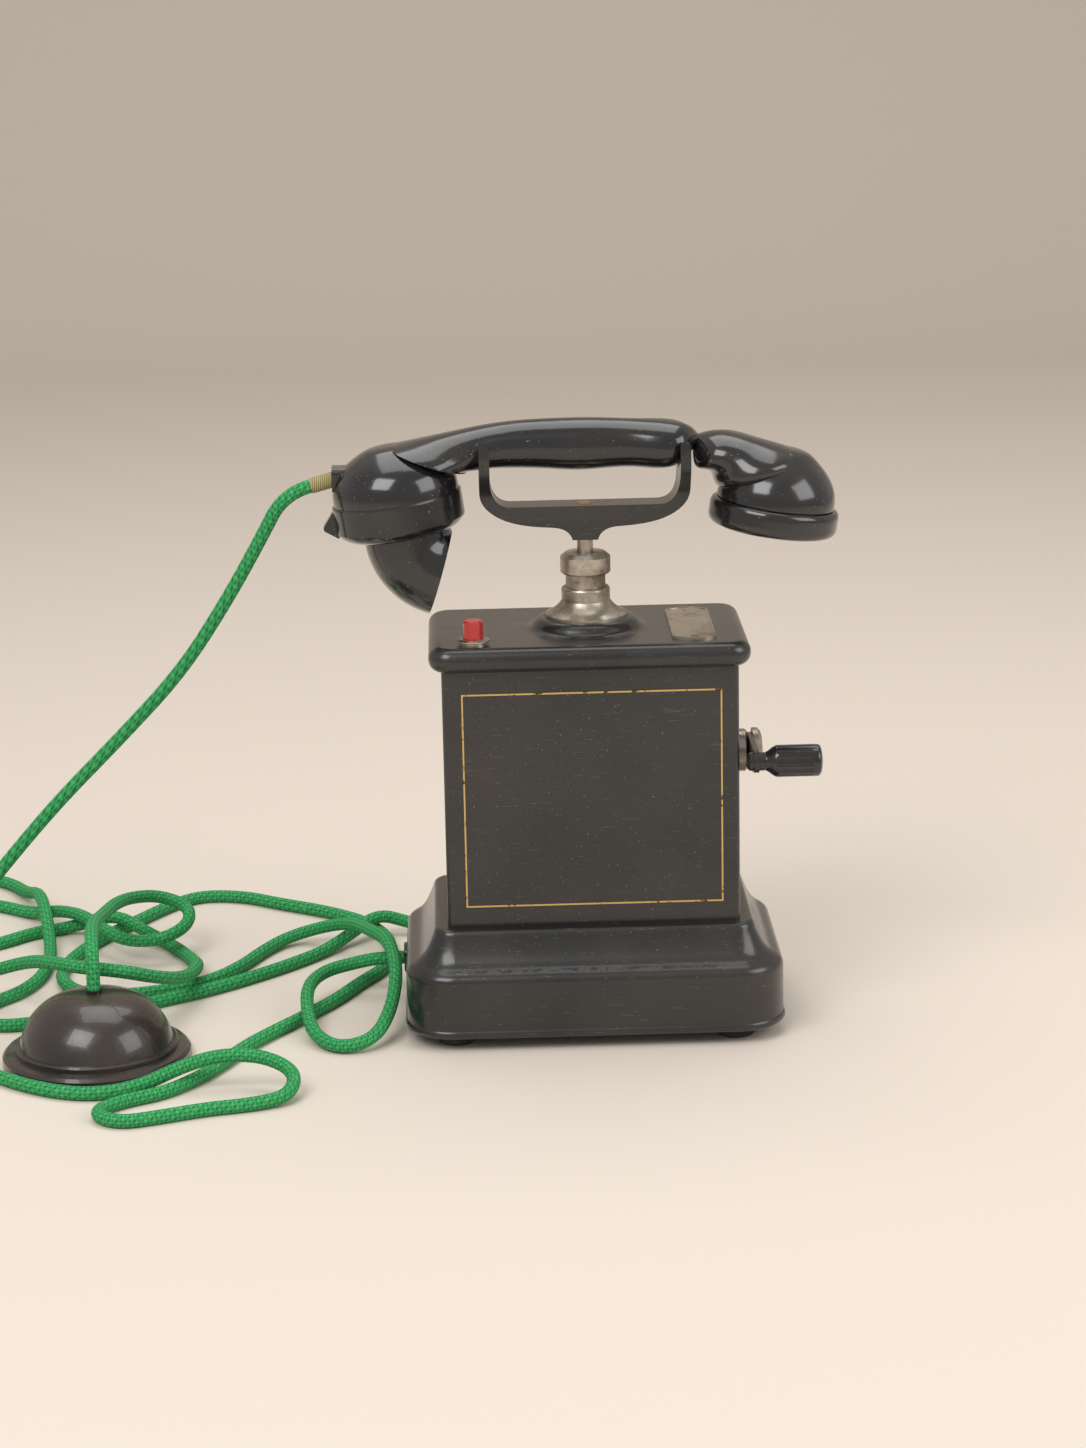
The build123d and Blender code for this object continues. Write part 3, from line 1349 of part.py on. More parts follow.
with BuildPart() as gongs:
    for side in (-1, 1):
        with BuildSketch(upright(side * gong_x, gong_y, gong_rim_z)):
            with BuildLine():
                inner_r, crown = gong_r - gong_wall, gong_h - gong_wall
                Line((gong_screw_r, crown), (gong_screw_r, gong_h))
                Line((gong_screw_r, gong_h), (gong_r * 0.42, gong_h))
                Spline((gong_r * 0.42, gong_h), (gong_r, 0), tangents=((1, 0), (0, -1)))
                Line((gong_r, 0), (inner_r, 0))
                Spline((inner_r, 0), (gong_r * 0.42, crown), tangents=((0, 1), (-1, 0)))
                Line((gong_r * 0.42, crown), (gong_screw_r, crown))
            make_face()
        revolve(axis=Axis((side * gong_x, gong_y, 0), (0, 0, 1)))
save(gongs, "gongs")

# ---------------------------------------------------------------- cord bushes
def bush_shape(plane):
    """A flanged bush through the plinth wall, its flange outside; local y points out."""
    return profile(
        plane,
        (0, -base_wall - 2.0),
        (bush_r, -base_wall - 2.0),
        (bush_r, 0),
        (bush_flange_r, 0),
        (bush_flange_r - 0.6, bush_flange),
        (0, bush_flange),
    )


with BuildPart() as handset_cord_bush:
    at = (-base_x, hand_bush_y, bush_z)
    revolve(bush_shape(Plane(at, x_dir=(0, 0, 1), z_dir=(0, -1, 0))), axis=Axis(at, (-1, 0, 0)))
save(handset_cord_bush, "handset_cord_bush")

with BuildPart() as line_cord_bush:
    at = (line_bush_x, base_y, bush_z)
    revolve(bush_shape(Plane(at, x_dir=(1, 0, 0), z_dir=(0, 0, 1))), axis=Axis(at, (0, 1, 0)))
save(line_cord_bush, "line_cord_bush")

# ---------------------------------------------------------------- terminal rosette
ros_line = Axis((ros_x, ros_y, 0), (0, 0, 1))
with BuildPart() as rosette_cover:
    with BuildSketch(upright(ros_x, ros_y)):
        with BuildLine():
            brim_in = ros_r - ros_wall
            step_r = ros_dome_r + ros_lip_w
            Polyline(
                (brim_in, 0),
                (ros_r, 0),
                (ros_r, ros_lip_h - 1.5),
                (ros_r - 1.5, ros_lip_h),
                (step_r, ros_lip_h + 0.8),
                (step_r, ros_step_h - 1.0),
                (step_r - 1.0, ros_step_h),
                (ros_dome_r, ros_step_h),
            )
            Spline((ros_dome_r, ros_step_h), (ros_hole_r, ros_h), tangents=((-0.25, 1), (-1, 0.02)))
            Line((ros_hole_r, ros_h), (ros_hole_r, ros_h - ros_wall))
            Spline(
                (ros_hole_r, ros_h - ros_wall),
                (ros_dome_r - ros_wall, ros_step_h),
                tangents=((1, -0.02), (0.25, -1)),
            )
            Polyline((ros_dome_r - ros_wall, ros_step_h), (brim_in, ros_lip_h - ros_wall), (brim_in, 0))
        make_face()
    revolve(axis=ros_line)
save(rosette_cover, "rosette_cover")

with BuildPart() as rosette_base:
    with BuildSketch(Plane.XY):
        with Locations((ros_x, ros_y)):
            Circle(ros_r - ros_wall - slip)
    extrude(amount=ros_lip_h - ros_wall - slip)
    with BuildSketch(Plane.XY.offset(ros_lip_h - ros_wall - slip)):
        with Locations((ros_x, ros_y)):
            Circle(ros_dome_r - ros_wall - 4.0)
    extrude(amount=4.0)
save(rosette_base, "rosette_base")

with BuildPart() as rosette_terminals:
    with BuildSketch(Plane.XY.offset(ros_lip_h - ros_wall - slip + 4.0)):
        with Locations((ros_x, ros_y)):
            with PolarLocations(20.0, 4, start_angle=45):
                RectangleRounded(9.0, 7.0, 1.5)
    extrude(amount=4.0)
    with BuildSketch(Plane.XY.offset(ros_lip_h - ros_wall - slip + 8.0)):
        with Locations((ros_x, ros_y)):
            with PolarLocations(20.0, 4, start_angle=45):
                Circle(2.6)
    extrude(amount=2.0)
save(rosette_terminals, "rosette_terminals")

with BuildPart() as rosette_bush:
    with BuildSketch(Plane.XY.offset(ros_h - ros_wall - 3.0)):
        with Locations((ros_x, ros_y)):
            Circle(ros_hole_r - 0.1)
    extrude(amount=ros_wall + 3.0 + ros_bush_h)
save(rosette_bush, "rosette_bush")

# ---------------------------------------------------------------- cords
# A route is the row of points a cord follows, from where it leaves the object to its far end.

handset_route = [
    (-134.96, 0, 275.08), (-148.46, 0, 271.46), (-161, 6, 248), (-178.5, 12, 217.4), (-204.4, 21, 177.8),
    (-238.4, 32, 140.9), (-274, 38, 105), (-306, 42, 68), (-333, 50, 34), (-350, 66, 10),
    (-351, 92, 3.4), (-335, 110, 3.4), (-317, 122, 3.4), (-303, 138, 3.4), (-281, 146, 3.6),
    (-258, 141, 12.5), (-240, 127, 6), (-222, 106, 3.4), (-211, 80, 4.5), (-205, 50, 11),
    (-209, 16, 16), (-219, -19, 28), (-236, -42, 40), (-257, -42, 42.5), (-273, -22, 39),
    (-287, 5, 31), (-304, 26, 21), (-326, 32, 13), (-342, 14, 5), (-342, -12, 3.4), (-332, -40, 3.4),
    (-315, -67, 3.4), (-293, -90, 3.4), (-270, -109, 3.4), (-246, -118, 3.4), (-223, -112, 4.5),
    (-203, -107, 12.5), (-184, -107, 18), (-163, -107, 17), (-147, -115, 11), (-150, -130, 4.5),
    (-168, -137, 3.4), (-189, -141, 3.4), (-211, -150, 3.4), (-230, -156, 3.4), (-243, -142, 3.4),
    (-231, -128, 3.4), (-211, -118, 3.4), (-198, -102, 3.4), (-186, -82, 3.4), (-177, -59, 3.4),
    (-163, -36, 3.4), (-147, -13, 3.4), (-131, 13, 3.4), (-120, 38, 3.4), (-107, 61, 3.4),
    (-104, 88, 3.4), (-107, 115, 3.4), (-120, 142, 3.4), (-141, 162, 3.4), (-167, 178, 3.4),
    (-190, 195, 3.4), (-215, 198, 3.4), (-231, 181, 3.4), (-246, 156, 3.4), (-261, 130, 3.4),
    (-272, 105, 3.4), (-279, 80, 3.4), (-279, 55, 3.4), (-267, 33, 3.4), (-246, 27, 3.4),
    (-222, 33, 3.4), (-200, 46, 3.4), (-184, 70, 3.4), (-174, 95, 3.4), (-161, 115, 4.5),
    (-142, 116, 9.5), (-128, 101, 16), (-120, 80, 21), (-115, 54, 27), (-106, 28, 31), (-101, 4, 29),
    (-100, -18, 23), (-103, -40, 14), (-111, -58, 6), (-128, -63, 3.4), (-142, -46, 5),
    (-146, -20, 11), (-146, 4, 14.5), (-138, 24, 15), (-123, 31, 16.5), (-110, 28, 20),
    (-96.55, 28, 20),
]

line_route = [
    (-60, 66.55, 20), (-60, 81, 20), (-65, 99, 12), (-79, 117, 5), (-96, 130, 6.5), (-113, 127, 12.6),
    (-128, 110, 6), (-142, 90, 3.4), (-158, 71, 3.4), (-175, 54, 3.4), (-195, 36, 3.4),
    (-217, 21, 3.4), (-240, 8, 3.4), (-263, -3, 3.4), (-284, -12, 3.4), (-304, -16, 3.4),
    (-318, -1, 3.4), (-312, 20, 3.4), (-298, 36, 3.4), (-290, 58, 3.4), (-288, 84, 3.4),
    (-290, 109, 3.4), (-294, 132, 12.5), (-299, 157, 15.5), (-305, 182, 13), (-314, 207, 5),
    (-326, 232, 3.4), (-345, 246, 3.4), (-364, 236, 3.4), (-366, 214, 3.4), (-349, 200, 3.4),
    (-326, 189, 3.4), (-307, 173, 3.4), (-289, 155, 10.5), (-274, 132, 14.5), (-262, 110, 14),
    (-248, 91, 12.5), (-229, 85, 14), (-214, 97, 18), (-214, 116, 23), (-231, 122, 28),
    (-245, 107, 32), (-251, 80, 37), (-253, 44, 43), (-254, 8, 50), (-252, -26, 57),
    (-249.5, -49, 58.5), (-248.5, -58.5, 50), (-248.5, -58.5, 36.55),
]

wire_routes = []


def bends(route):
    """The radius of each corner of a route, 0.45 of its shorter run over the tangent of half its turn."""
    found = []
    for a, b, c in zip(route, route[1:], route[2:]):
        run_in, run_out = Vector(b) - Vector(a), Vector(c) - Vector(b)
        half_turn = radians(run_in.get_angle(run_out)) / 2
        found.append(0.45 * min(run_in.length, run_out.length) / tan(half_turn))
    return found


def cord(route, across, node):
    """A round cord along a route, with its radii and its volume against section times length printed."""
    with BuildPart() as made:
        with BuildLine() as path:
            FilletPolyline(*route, radius=bends(route))
        with BuildSketch(Plane(route[0], z_dir=Vector(route[1]) - Vector(route[0]))):
            Circle(across / 2)
        sweep()
    long = sum(e.length for e in path.edges())
    full = pi * across * across / 4 * long
    print(node, "long", round(long), "tightest", round(min(bends(route)), 1), "volume", round(made.part.volume / full, 3))
    return made

handset_cord = cord(handset_route, cord_d, "handset_cord")
save(handset_cord, "handset_cord")
line_cord = cord(line_route, cord_d, "line_cord")
save(line_cord, "line_cord")
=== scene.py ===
"""Looks of the magneto desk telephone: enamel, bakelite, worn metal, braided cords and the studio."""

import json
import math

import bpy
from mathutils import Matrix, Vector


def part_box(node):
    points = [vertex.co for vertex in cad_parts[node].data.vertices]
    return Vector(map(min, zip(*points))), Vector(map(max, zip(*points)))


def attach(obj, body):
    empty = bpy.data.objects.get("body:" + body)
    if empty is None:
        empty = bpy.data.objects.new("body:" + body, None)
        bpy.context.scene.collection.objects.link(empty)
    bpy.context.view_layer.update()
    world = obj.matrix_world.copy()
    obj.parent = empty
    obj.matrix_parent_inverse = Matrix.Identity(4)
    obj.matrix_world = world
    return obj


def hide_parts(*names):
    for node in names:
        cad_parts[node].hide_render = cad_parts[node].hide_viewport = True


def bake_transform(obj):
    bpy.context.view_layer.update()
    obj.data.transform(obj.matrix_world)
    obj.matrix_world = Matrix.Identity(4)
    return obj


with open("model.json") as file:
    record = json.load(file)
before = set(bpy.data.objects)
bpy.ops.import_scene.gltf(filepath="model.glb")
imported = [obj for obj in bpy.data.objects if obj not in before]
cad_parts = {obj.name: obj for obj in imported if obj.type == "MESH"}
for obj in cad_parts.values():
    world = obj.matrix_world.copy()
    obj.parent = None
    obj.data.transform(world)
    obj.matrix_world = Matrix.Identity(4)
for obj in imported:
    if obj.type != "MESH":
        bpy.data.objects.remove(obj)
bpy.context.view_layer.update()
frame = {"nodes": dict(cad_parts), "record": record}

bl_info = {
    "name": "Magneto desk telephone",
    "version": (1, 0, 0),
    "blender": (4, 5, 0),
    "location": "3D View > Sidebar > Telephone",
    "description": "Finishes, cords and studio of a magneto desk telephone",
    "category": "Object",
}

# The points each cord follows, in millimetres.
HANDSET_ROUTE = [
    (-134.96, 0, 275.08), (-148.46, 0, 271.46), (-161, 6, 248), (-178.5, 12, 217.4),
    (-204.4, 21, 177.8), (-238.4, 32, 140.9), (-274, 38, 105), (-306, 42, 68), (-333, 50, 34),
    (-350, 66, 10), (-351, 92, 3.4), (-335, 110, 3.4), (-317, 122, 3.4), (-303, 138, 3.4),
    (-281, 146, 3.6), (-258, 141, 12.5), (-240, 127, 6), (-222, 106, 3.4), (-211, 80, 4.5),
    (-205, 50, 11), (-209, 16, 16), (-219, -19, 28), (-236, -42, 40), (-257, -42, 42.5),
    (-273, -22, 39), (-287, 5, 31), (-304, 26, 21), (-326, 32, 13), (-342, 14, 5),
    (-342, -12, 3.4), (-332, -40, 3.4), (-315, -67, 3.4), (-293, -90, 3.4), (-270, -109, 3.4),
    (-246, -118, 3.4), (-223, -112, 4.5), (-203, -107, 12.5), (-184, -107, 18), (-163, -107, 17),
    (-147, -115, 11), (-150, -130, 4.5), (-168, -137, 3.4), (-189, -141, 3.4), (-211, -150, 3.4),
    (-230, -156, 3.4), (-243, -142, 3.4), (-231, -128, 3.4), (-211, -118, 3.4), (-198, -102, 3.4),
    (-186, -82, 3.4), (-177, -59, 3.4), (-163, -36, 3.4), (-147, -13, 3.4), (-131, 13, 3.4),
    (-120, 38, 3.4), (-107, 61, 3.4), (-104, 88, 3.4), (-107, 115, 3.4), (-120, 142, 3.4),
    (-141, 162, 3.4), (-167, 178, 3.4), (-190, 195, 3.4), (-215, 198, 3.4), (-231, 181, 3.4),
    (-246, 156, 3.4), (-261, 130, 3.4), (-272, 105, 3.4), (-279, 80, 3.4), (-279, 55, 3.4),
    (-267, 33, 3.4), (-246, 27, 3.4), (-222, 33, 3.4), (-200, 46, 3.4), (-184, 70, 3.4),
    (-174, 95, 3.4), (-161, 115, 4.5), (-142, 116, 9.5), (-128, 101, 16), (-120, 80, 21),
    (-115, 54, 27), (-106, 28, 31), (-101, 4, 29), (-100, -18, 23), (-103, -40, 14),
    (-111, -58, 6), (-128, -63, 3.4), (-142, -46, 5), (-146, -20, 11), (-146, 4, 14.5),
    (-138, 24, 15), (-123, 31, 16.5), (-110, 28, 20), (-96.55, 28, 20),
]
LINE_ROUTE = [
    (-60, 66.55, 20), (-60, 81, 20), (-65, 99, 12), (-79, 117, 5), (-96, 130, 6.5),
    (-113, 127, 12.6), (-128, 110, 6), (-142, 90, 3.4), (-158, 71, 3.4), (-175, 54, 3.4),
    (-195, 36, 3.4), (-217, 21, 3.4), (-240, 8, 3.4), (-263, -3, 3.4), (-284, -12, 3.4),
    (-304, -16, 3.4), (-318, -1, 3.4), (-312, 20, 3.4), (-298, 36, 3.4), (-290, 58, 3.4),
    (-288, 84, 3.4), (-290, 109, 3.4), (-294, 132, 12.5), (-299, 157, 15.5), (-305, 182, 13),
    (-314, 207, 5), (-326, 232, 3.4), (-345, 246, 3.4), (-364, 236, 3.4), (-366, 214, 3.4),
    (-349, 200, 3.4), (-326, 189, 3.4), (-307, 173, 3.4), (-289, 155, 10.5), (-274, 132, 14.5),
    (-262, 110, 14), (-248, 91, 12.5), (-229, 85, 14), (-214, 97, 18), (-214, 116, 23),
    (-231, 122, 28), (-245, 107, 32), (-251, 80, 37), (-253, 44, 43), (-254, 8, 50),
    (-252, -26, 57), (-249.5, -49, 58.5), (-248.5, -58.5, 50), (-248.5, -58.5, 36.55),
]

BRAID_PITCH = 0.0052
BRAID_CARRIERS = 5
# The gold line's left, right, lower and upper edges on the case front.
GOLD_EDGES = (-0.0635, 0.0645, 0.0685, 0.1775)
PAINT_THICK = 0.0001
FLOOR_SIDE, BACKDROP_HIGH, BACKDROP_CURVE = 6.0, 3.0, 0.8
# The camera, solved from the handset and the level lines of the case.
FOCAL_PIXELS, FRAME_WIDTH = 3389.94, 1086.0
CAMERA_AIM = (-0.02262, 0.0, 0.1505)
CAMERA_DISTANCE = 1.70781
CAMERA_PITCH, CAMERA_YAW, CAMERA_ROLL = (math.radians(a) for a in (14.53, 1.38, -1.14))


class Socket:
    """A shader socket whose sums, differences and products add Math nodes."""

    def __init__(self, graph, out):
        self.graph, self.out = graph, out

    def maths(self, operation, other, turned=False):
        pair = (other, self) if turned else (self, other)
        return self.graph.node("ShaderNodeMath", {"operation": operation}, dict(enumerate(pair)))

    def __add__(self, other):
        return self.maths("ADD", other)

    def __radd__(self, other):
        return self.maths("ADD", other, True)

    def __sub__(self, other):
        return self.maths("SUBTRACT", other)

    def __rsub__(self, other):
        return self.maths("SUBTRACT", other, True)

    def __mul__(self, other):
        return self.maths("MULTIPLY", other)

    def __rmul__(self, other):
        return self.maths("MULTIPLY", other, True)


class Graph:
    """The node tree of one material."""

    def __init__(self, name):
        self.material = bpy.data.materials.new(name)
        self.material.use_nodes = True
        self.tree = self.material.node_tree
        self.tree.nodes.clear()
        output = self.tree.nodes.new("ShaderNodeOutputMaterial")
        self.shader = self.tree.nodes.new("ShaderNodeBsdfPrincipled")
        self.tree.links.new(self.shader.outputs[0], output.inputs["Surface"])

    def node(self, kind, settings=None, inputs=None, out=0):
        made = self.tree.nodes.new(kind)
        for key, value in (settings or {}).items():
            setattr(made, key, value)
        for key, value in (inputs or {}).items():
            self.plug(made.inputs[key], value)
        return Socket(self, made.outputs[out])

    def plug(self, target, value):
        if isinstance(value, Socket):
            self.tree.links.new(value.out, target)
        elif hasattr(value, "__len__") and target.type == "RGBA" and len(value) == 3:
            target.default_value = (*value, 1.0)
        else:
            target.default_value = value

    def finish(self, **values):
        for key, value in values.items():
            self.plug(self.shader.inputs[key.replace("_", " ")], value)
        return self.material

    def place(self):
        return self.node("ShaderNodeTexCoord", out="Object")

    def noise(self, scale, detail=3.0, rough=0.5, vector=None):
        """Cloudy noise from 0 to 1."""
        return self.node(
            "ShaderNodeTexNoise",
            None,
            {"Vector": vector or self.place(), "Scale": scale, "Detail": detail, "Roughness": rough},
        )

    def stretched(self, factors, turn=(0.0, 0.0, 0.0)):
        """Object coordinates scaled and turned, for streaks."""
        return self.node(
            "ShaderNodeMapping", None, {"Vector": self.place(), "Scale": factors, "Rotation": turn}
        )

    def step(self, value, low, high):
        """0 below low, 1 above high, and a slope between."""
        return self.node(
            "ShaderNodeMapRange", {"clamp": True}, {0: value, 1: low, 2: high, 3: 0.0, 4: 1.0}
        )

    def mix(self, share, first, second):
        return self.node(
            "ShaderNodeMix", {"data_type": "RGBA"}, {0: share, 6: first, 7: second}, out=2
        )

    def bump(self, height, strength, distance=0.0004):
        return self.node(
            "ShaderNodeBump", None, {"Height": height, "Strength": strength, "Distance": distance}
        )


def enamel():
    """Black stoved enamel: fine diagonal scratches, dust and a brownish bloom."""
    g = Graph("black_enamel")
    cloud = g.noise(14.0, 5.0)
    scratch = g.noise(90.0, 3.0, 0.6, g.stretched((1.0, 1.0, 14.0), (0.0, 0.8, 0.3)))
    line = g.step(scratch, 0.66, 0.70)
    dust = g.step(g.noise(1100.0, 1.0), 0.74, 0.78)
    base = g.mix(g.step(cloud, 0.35, 0.75), (0.010, 0.010, 0.010), (0.026, 0.023, 0.020))
    base = g.mix(line * 0.35, base, (0.16, 0.14, 0.12))
    base = g.mix(dust * 0.5, base, (0.35, 0.33, 0.30))
    rough = 0.22 + 0.16 * cloud + 0.2 * line + 0.3 * dust
    height = g.noise(60.0, 2.0) + line * -0.4
    return g.finish(
        Base_Color=base, Roughness=rough, Coat_Weight=0.35, Coat_Roughness=0.12, Normal=g.bump(height, 0.12)
    )


def bakelite():
    """Polished black bakelite with dust specks and faint flow marks."""
    g = Graph("bakelite")
    flow = g.noise(22.0, 4.0, 0.6, g.stretched((1.0, 1.0, 3.0)))
    dust = g.step(g.noise(900.0, 1.0), 0.75, 0.79)
    base = g.mix(g.step(flow, 0.4, 0.7), (0.008, 0.008, 0.009), (0.020, 0.018, 0.017))
    base = g.mix(dust * 0.6, base, (0.42, 0.40, 0.36))
    rough = 0.12 + 0.12 * flow + 0.35 * dust
    return g.finish(
        Base_Color=base, Roughness=rough, Coat_Weight=0.5, Coat_Roughness=0.08,
        Normal=g.bump(g.noise(45.0, 2.0), 0.05),
    )


def metal(name, clean, dull, rough):
    """Aged metal: a tarnished film over the bare colour, with pits."""
    g = Graph(name)
    film = g.step(g.noise(38.0, 6.0, 0.65), 0.42, 0.62)
    pits = g.step(g.noise(420.0, 2.0), 0.66, 0.72)
    lines = g.noise(260.0, 2.0, 0.5, g.stretched((1.0, 1.0, 6.0)))
    base = g.mix(film, clean, dull)
    base = g.mix(pits * 0.5, base, tuple(0.4 * c for c in dull))
    return g.finish(
        Base_Color=base, Metallic=1.0 - 0.25 * film, Roughness=rough + 0.25 * film + 0.08 * lines,
        Normal=g.bump(lines + pits * -0.6, 0.1),
    )


def wound(name, light, dark):
    """Enamelled wire wound in close turns."""
    g = Graph(name)
    turns = g.node(
        "ShaderNodeTexWave", {"bands_direction": "X"},
        {"Vector": g.place(), "Scale": 420.0, "Distortion": 0.4, "Detail": 1.0}, out=1,
    )
    return g.finish(
        Base_Color=g.mix(turns, dark, light), Metallic=0.6, Roughness=0.35 + 0.15 * turns,
        Normal=g.bump(turns, 0.5),
    )


def moulded(name, first, second, rough, scale=30.0, gloss=0.0):
    """Moulded or pressed material with soft mottling."""
    g = Graph(name)
    cloud = g.noise(scale, 5.0)
    grain = g.noise(scale * 14.0, 2.0)
    return g.finish(
        Base_Color=g.mix(g.step(cloud, 0.35, 0.7), first, second), Roughness=rough + 0.18 * grain,
        Coat_Weight=gloss, Normal=g.bump(grain, 0.12),
    )


def thread():
    """Waxed tan binding thread in close turns round the cord."""
    g = Graph("tan_thread")
    turns = g.node(
        "ShaderNodeTexWave", {"bands_direction": "X"},
        {"Vector": g.stretched((1.0, 1.0, 0.3)), "Scale": 300.0, "Distortion": 0.8}, out=1,
    )
    return g.finish(
        Base_Color=g.mix(turns, (0.20, 0.15, 0.05), (0.50, 0.43, 0.20)), Roughness=0.75,
        Normal=g.bump(turns, 0.7),
    )


def braid(name, long):
    """Green cotton braid: carriers crossing over and under, with darker pairs and fluff."""
    g = Graph(name)
    along = g.node("ShaderNodeSeparateXYZ", None, {0: g.node("ShaderNodeTexCoord", out="UV")}, out=0)
    round_ = g.node("ShaderNodeSeparateXYZ", None, {0: g.node("ShaderNodeTexCoord", out="UV")}, out=1)
    full = 2 * math.pi
    first = g.node(
        "ShaderNodeMath", {"operation": "SINE"},
        {0: along * (full * long / BRAID_PITCH) + round_ * (full * BRAID_CARRIERS)},
    )
    second = g.node(
        "ShaderNodeMath", {"operation": "SINE"},
        {0: along * (full * long / BRAID_PITCH) - round_ * (full * BRAID_CARRIERS)},
    )
    weave = first * second
    fluff = g.noise(500.0, 3.0)
    dark = g.step(first, 0.55, 0.9)
    base = g.mix(g.step(weave, -0.8, 0.6), (0.012, 0.16, 0.045), (0.030, 0.42, 0.11))
    base = g.mix(dark * 0.6, base, (0.008, 0.075, 0.030))
    base = g.mix(g.step(fluff, 0.55, 0.75) * 0.35, base, (0.16, 0.55, 0.22))
    return g.finish(Base_Color=base, Roughness=0.82, Normal=g.bump(weave * 0.6 + fluff * 0.5, 0.6))


def gilt():
    """Thin gold lining paint, worn through in places."""
    g = Graph("gold_line")
    worn = g.step(g.noise(240.0, 3.0), 0.60, 0.68)
    return g.finish(
        Base_Color=g.mix(worn, (0.62, 0.42, 0.13), (0.05, 0.04, 0.03)), Metallic=0.5, Roughness=0.45,
        Normal=g.bump(g.noise(500.0), 0.1),
    )


def make_materials():
    """Every finish by its slot in the record, and the gold line's."""
    return {
        "black_enamel": enamel(),
        "bakelite": bakelite(),
        "nickel": metal("nickel", (0.56, 0.50, 0.42), (0.20, 0.16, 0.11), 0.26),
        "brass": metal("brass", (0.66, 0.47, 0.20), (0.22, 0.14, 0.06), 0.30),
        "steel": metal("steel", (0.52, 0.50, 0.47), (0.20, 0.17, 0.14), 0.30),
        "iron": metal("iron", (0.17, 0.17, 0.17), (0.07, 0.05, 0.04), 0.45),
        "felt_rubber": moulded("felt_rubber", (0.03, 0.03, 0.03), (0.07, 0.06, 0.05), 0.75, 90.0),
        "copper_winding": wound("copper_winding", (0.60, 0.24, 0.10), (0.20, 0.06, 0.03)),
        "red_plastic": moulded("red_plastic", (0.50, 0.020, 0.016), (0.36, 0.012, 0.010), 0.18, 60.0, 0.5),
        "tan_thread": thread(),
        "rosette_plastic": moulded(
            "rosette_plastic", (0.020, 0.016, 0.014), (0.045, 0.032, 0.024), 0.20, 26.0, 0.4
        ),
        "paxolin": moulded("paxolin", (0.20, 0.09, 0.03), (0.30, 0.15, 0.06), 0.35, 40.0),
        "capacitor_can": metal("capacitor_can", (0.60, 0.60, 0.58), (0.30, 0.28, 0.25), 0.35),
        "gold_line": gilt(),
    }


def slot_of(node):
    """The material slot that the record gives a CAD node."""
    for part in frame["record"]["subparts"]:
        if part.get("node") == node:
            return part.get("material_slot") or part.get("slot") or part.get("material")
    return None


def dress(obj, material):
    """Gives an object this one material."""
    obj.data.materials.clear()
    obj.data.materials.append(material)


def clear_selection():
    for obj in bpy.context.selected_objects:
        obj.select_set(False)


class CordSizes(bpy.types.PropertyGroup):
    """Sizes of the two braided cords."""

    across: bpy.props.FloatProperty(
        name="Across", description="Diameter over the braid", default=0.0068, unit="LENGTH"
    )
    handset_long: bpy.props.FloatProperty(
        name="Handset cord", description="Length of the handset cord", default=2.35, unit="LENGTH"
    )
    line_long: bpy.props.FloatProperty(
        name="Line cord", description="Length of the line cord", default=1.10, unit="LENGTH"
    )


class CaseSizes(bpy.types.PropertyGroup):
    """Sizes of the gold line on the case."""

    line_wide: bpy.props.FloatProperty(
        name="Line", description="Width of the gold line", default=0.0008, unit="LENGTH"
    )


class StudioLook(bpy.types.PropertyGroup):
    """Colours and levels of the studio."""

    floor: bpy.props.FloatVectorProperty(
        name="Floor", description="Colour of the floor and backdrop", subtype="COLOR",
        default=(0.70, 0.62, 0.54), size=3,
    )
    key: bpy.props.FloatProperty(name="Key", description="Power of the large lamp", default=26.0)


class TELEPHONE_OT_finishes(bpy.types.Operator):
    """Give every CAD piece its finish"""

    bl_idname = "telephone.finishes"
    bl_label = "Finishes"

    def execute(self, context):
        made = make_materials()
        for name, obj in frame["nodes"].items():
            dress(obj, made.get(slot_of(name)) or made["black_enamel"])
        return {"FINISHED"}


class TELEPHONE_OT_cords(bpy.types.Operator):
    """Lay the handset cord and the line cord"""

    bl_idname = "telephone.cords"
    bl_label = "Cords"

    def lay(self, name, route, across, long, node):
        """A round cord along a route, as a tube, and the line that it follows."""
        curve = bpy.data.curves.new(name, "CURVE")
        curve.dimensions = "3D"
        spline = curve.splines.new("NURBS")
        spline.points.add(len(route) - 1)
        for point, place in zip(spline.points, route):
            point.co = (*(v / 1000.0 for v in place), 1.0)
        spline.order_u = 3
        spline.use_endpoint_u = True
        spline.resolution_u = 10
        piece = bpy.data.objects.new(name, curve)
        bpy.context.scene.collection.objects.link(piece)
        path = [tuple(v.co) for v in self.meshed(piece).vertices]
        curve.bevel_depth = across / 2
        curve.bevel_resolution = 5
        curve.use_fill_caps = True
        tube = bpy.data.objects.new(name, self.meshed(piece))
        bpy.data.objects.remove(piece)
        tube.name = name
        bpy.context.scene.collection.objects.link(tube)
        dress(tube, braid(name + "_braid", long))
        for face in tube.data.polygons:
            face.use_smooth = True
        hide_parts(node)
        return tube, path

    def meshed(self, piece):
        """The mesh that a curve object gives at the moment."""
        bpy.context.view_layer.update()
        return bpy.data.meshes.new_from_object(
            piece.evaluated_get(bpy.context.evaluated_depsgraph_get())
        )

    def execute(self, context):
        sizes = context.scene.telephone_cords
        clear_selection()
        for name, route, long, node in (
            ("handset_flex", HANDSET_ROUTE, sizes.handset_long, "handset_cord"),
            ("line_flex", LINE_ROUTE, sizes.line_long, "line_cord"),
        ):
            piece, path = self.lay(name, route, sizes.across, long, node)
            if node == "handset_cord":
                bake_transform(piece)
            else:
                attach(piece, "telephone")
        return {"FINISHED"}


